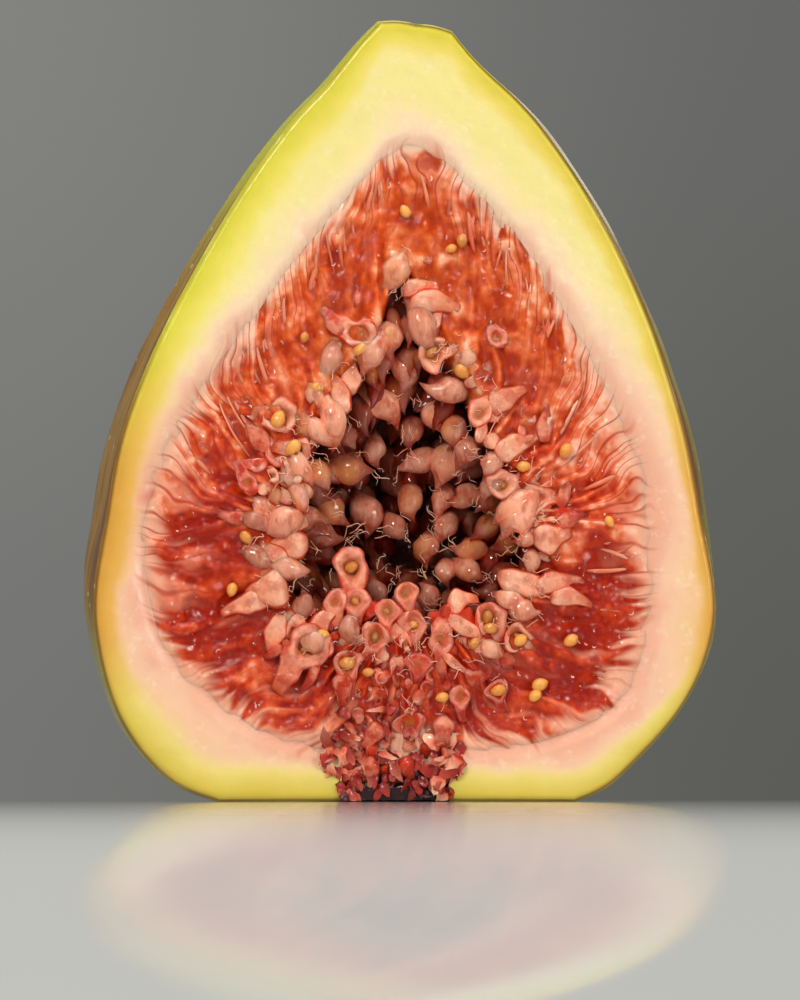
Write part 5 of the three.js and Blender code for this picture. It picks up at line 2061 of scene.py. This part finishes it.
@dataclass
class Studio:
    """The pale table, the soft lights and the camera."""

    azimuth: float = -4.5  # the camera stands this far round to the fig's left
    distance: float = 0.45
    camera_height: float = 0.0002
    aim_height: float = (BASE_PIXEL - 502) * PIXEL * MM
    aim_side: float = -0.0003
    frame_height: float = 1000 * PIXEL * MM
    table_radius: float = 600.0
    table_thickness: float = 6.0
    table_sides: int = 96

    def camera(self) -> None:
        """Places the camera just above the table, level with the photograph's."""
        data = bpy.data.cameras.new("camera")
        data.sensor_fit = "AUTO"
        data.sensor_width = 36.0
        data.lens = 36.1 * self.distance / self.frame_height
        data.clip_start, data.clip_end = 0.001, 20
        camera = linked("camera", data)
        turn = math.radians(self.azimuth)
        face = Vector((self.aim_side, CUT_Y * MM, self.aim_height))
        camera.location = (
            self.distance * math.sin(turn),
            CUT_Y * MM - self.distance * math.cos(turn),
            self.camera_height,
        )
        camera.rotation_euler = (face - camera.location).to_track_quat("-Z", "Y").to_euler()
        bpy.context.scene.camera = camera

    def table(self) -> Piece:
        """A wide round table top of pale, polished sheet."""
        count = self.table_sides
        turn = np.linspace(0, 2 * math.pi, count, endpoint=False)
        ring = np.stack([np.cos(turn), np.sin(turn), 0 * turn], axis=1) * self.table_radius
        drop = np.array([0, 0, self.table_thickness])
        points = np.concatenate([ring, ring - drop, [0 * drop, -drop]])
        j = np.arange(count)
        k = np.roll(j, -1)
        quads = np.stack([j, j + count, k + count, k], axis=1)
        top = np.stack([j, k, np.full(count, 2 * count)], axis=1)
        bottom = np.stack([k + count, j + count, np.full(count, 2 * count + 1)], axis=1)
        fans = np.concatenate([top, bottom])
        mesh = bpy.data.meshes.new("table")
        mesh.from_pydata((points * MM).tolist(), [], quads.tolist() + fans.tolist())
        material = bpy.data.materials.new("pale_polished_sheet")
        tree = emptied(material)
        steep = add(tree, Step.TIMES, add(tree, Step.LESS, 1.0, add(tree, Step.GRAZING, 0.5)), 450.0)
        share = add(tree, Step.SPAN, add(tree, Step.POWER, 0.58, steep), 0.0, 1.0, 0.27, 0.9)
        gloss = add(tree, Step.GLOSS, "#f2f2f0", 0.032, self.crowned(tree))
        add(tree, Step.SURFACE, add(tree, Step.BLEND, share, add(tree, Step.MATT, "#bfc1c0"), gloss))
        mesh.materials.append(material)
        table = linked("table", mesh)
        return table

    def crowned(self, tree: Tree) -> Socket:
        """The normal of a sheet that is crowned towards its front, and very finely brushed.

        A slope s of the view there gives a mirrored point s times the sheet's distance high. The
        tilt that squeezes the image to a half near the fig, and to a third at the front, is
        (0.47 + 0.044 h) times that slope, where h is the mirrored point's own depth in millimetres.
        """
        place = add(tree, Step.PLACE)
        stand = self.distance * math.cos(math.radians(self.azimuth)) - CUT_Y * MM
        reach = add(tree, Step.LARGER, add(tree, Step.PLUS, add(tree, Step.FRONT, place), stand), 0.002)
        slope = add(tree, Step.OVER, self.camera_height, reach)
        curve = add(tree, Step.SPAN, slope, 0.0, 0.04, 0.47, 0.47 + 19.8 * 0.04)
        tilt = add(tree, Step.TIMES, add(tree, Step.TIMES, slope, curve), -1.0)
        brushed = add(tree, Step.DUST, place)
        across = add(tree, Step.SPAN, brushed, 0.0, 1.0, -0.06, 0.06)
        return add(tree, Step.VECTOR, across, tilt, 1.0)

    def lamp(self, name: str, place: tuple, size: tuple, power: float, tint: str = "#ffffff") -> None:
        """A soft box that looks at the fig's middle."""
        data = bpy.data.lights.new(name, "AREA")
        data.shape = "RECTANGLE"
        data.size, data.size_y = size
        data.energy = power
        data.color = linear(tint)[:3]
        lamp = linked(name, data)
        lamp.location = place
        aim = Vector((0, 0, 0.025)) - Vector(place)
        lamp.rotation_euler = aim.to_track_quat("-Z", "Y").to_euler()

    def lights(self) -> None:
        """A small bright box at the front left, a strip at the right, one above and a weak one behind."""
        self.lamp("front_left", (-0.3, -0.6, 0.42), (0.13, 0.13), 2.8, "#fffaf2")
        self.lamp("front_right", (0.45, -0.5, 0.2), (0.08, 0.3), 1.5)
        self.lamp("top", (0.0, -0.1, 0.6), (0.4, 0.25), 1.8)
        self.lamp("back", (0.2, 0.7, 0.35), (0.5, 0.3), 0.7)

    def backdrop(self) -> None:
        """Grey all round, lighter to the left and darker to the right, as a lit paper is."""
        world = bpy.data.worlds.new("backdrop")
        tree = emptied(world)
        way = add(tree, Step.WAY)
        across = add(tree, Step.SPAN, add(tree, Step.SIDE, way), 0.0, 0.15)
        high = add(tree, Step.RAMP, across, {0.0: "#838380", 1.0: "#686866"})
        low = add(tree, Step.RAMP, across, {0.0: "#757673", 1.0: "#5c5d58"})
        grey = add(tree, Step.MIX, add(tree, Step.SPAN, add(tree, Step.HEIGHT, way), 0.0, 0.13), low, high)
        add(tree, Step.WORLD, add(tree, Step.GLOW, grey, 1.0))
        bpy.context.scene.world = world

    def build(self) -> None:
        """Sets up everything round the fig."""
        self.camera()
        self.table()
        self.lights()
        self.backdrop()
        bpy.context.scene.view_settings.view_transform = "Standard"


def main() -> None:
    """Builds the fig's pieces in order, then the studio."""
    logging.basicConfig(level=logging.INFO, format="%(message)s")
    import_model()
    parts = (
        Rind(),
        PulpBed(),
        Strands(),
        WholeFlorets(),
        CutFlorets(),
        Seeds(),
        Styles(),
        Films(),
        MouthScales(),
        EyeScales(),
    )
    for part in parts:
        part.build()
    Studio().build()


if __name__ == "__main__":
    main()
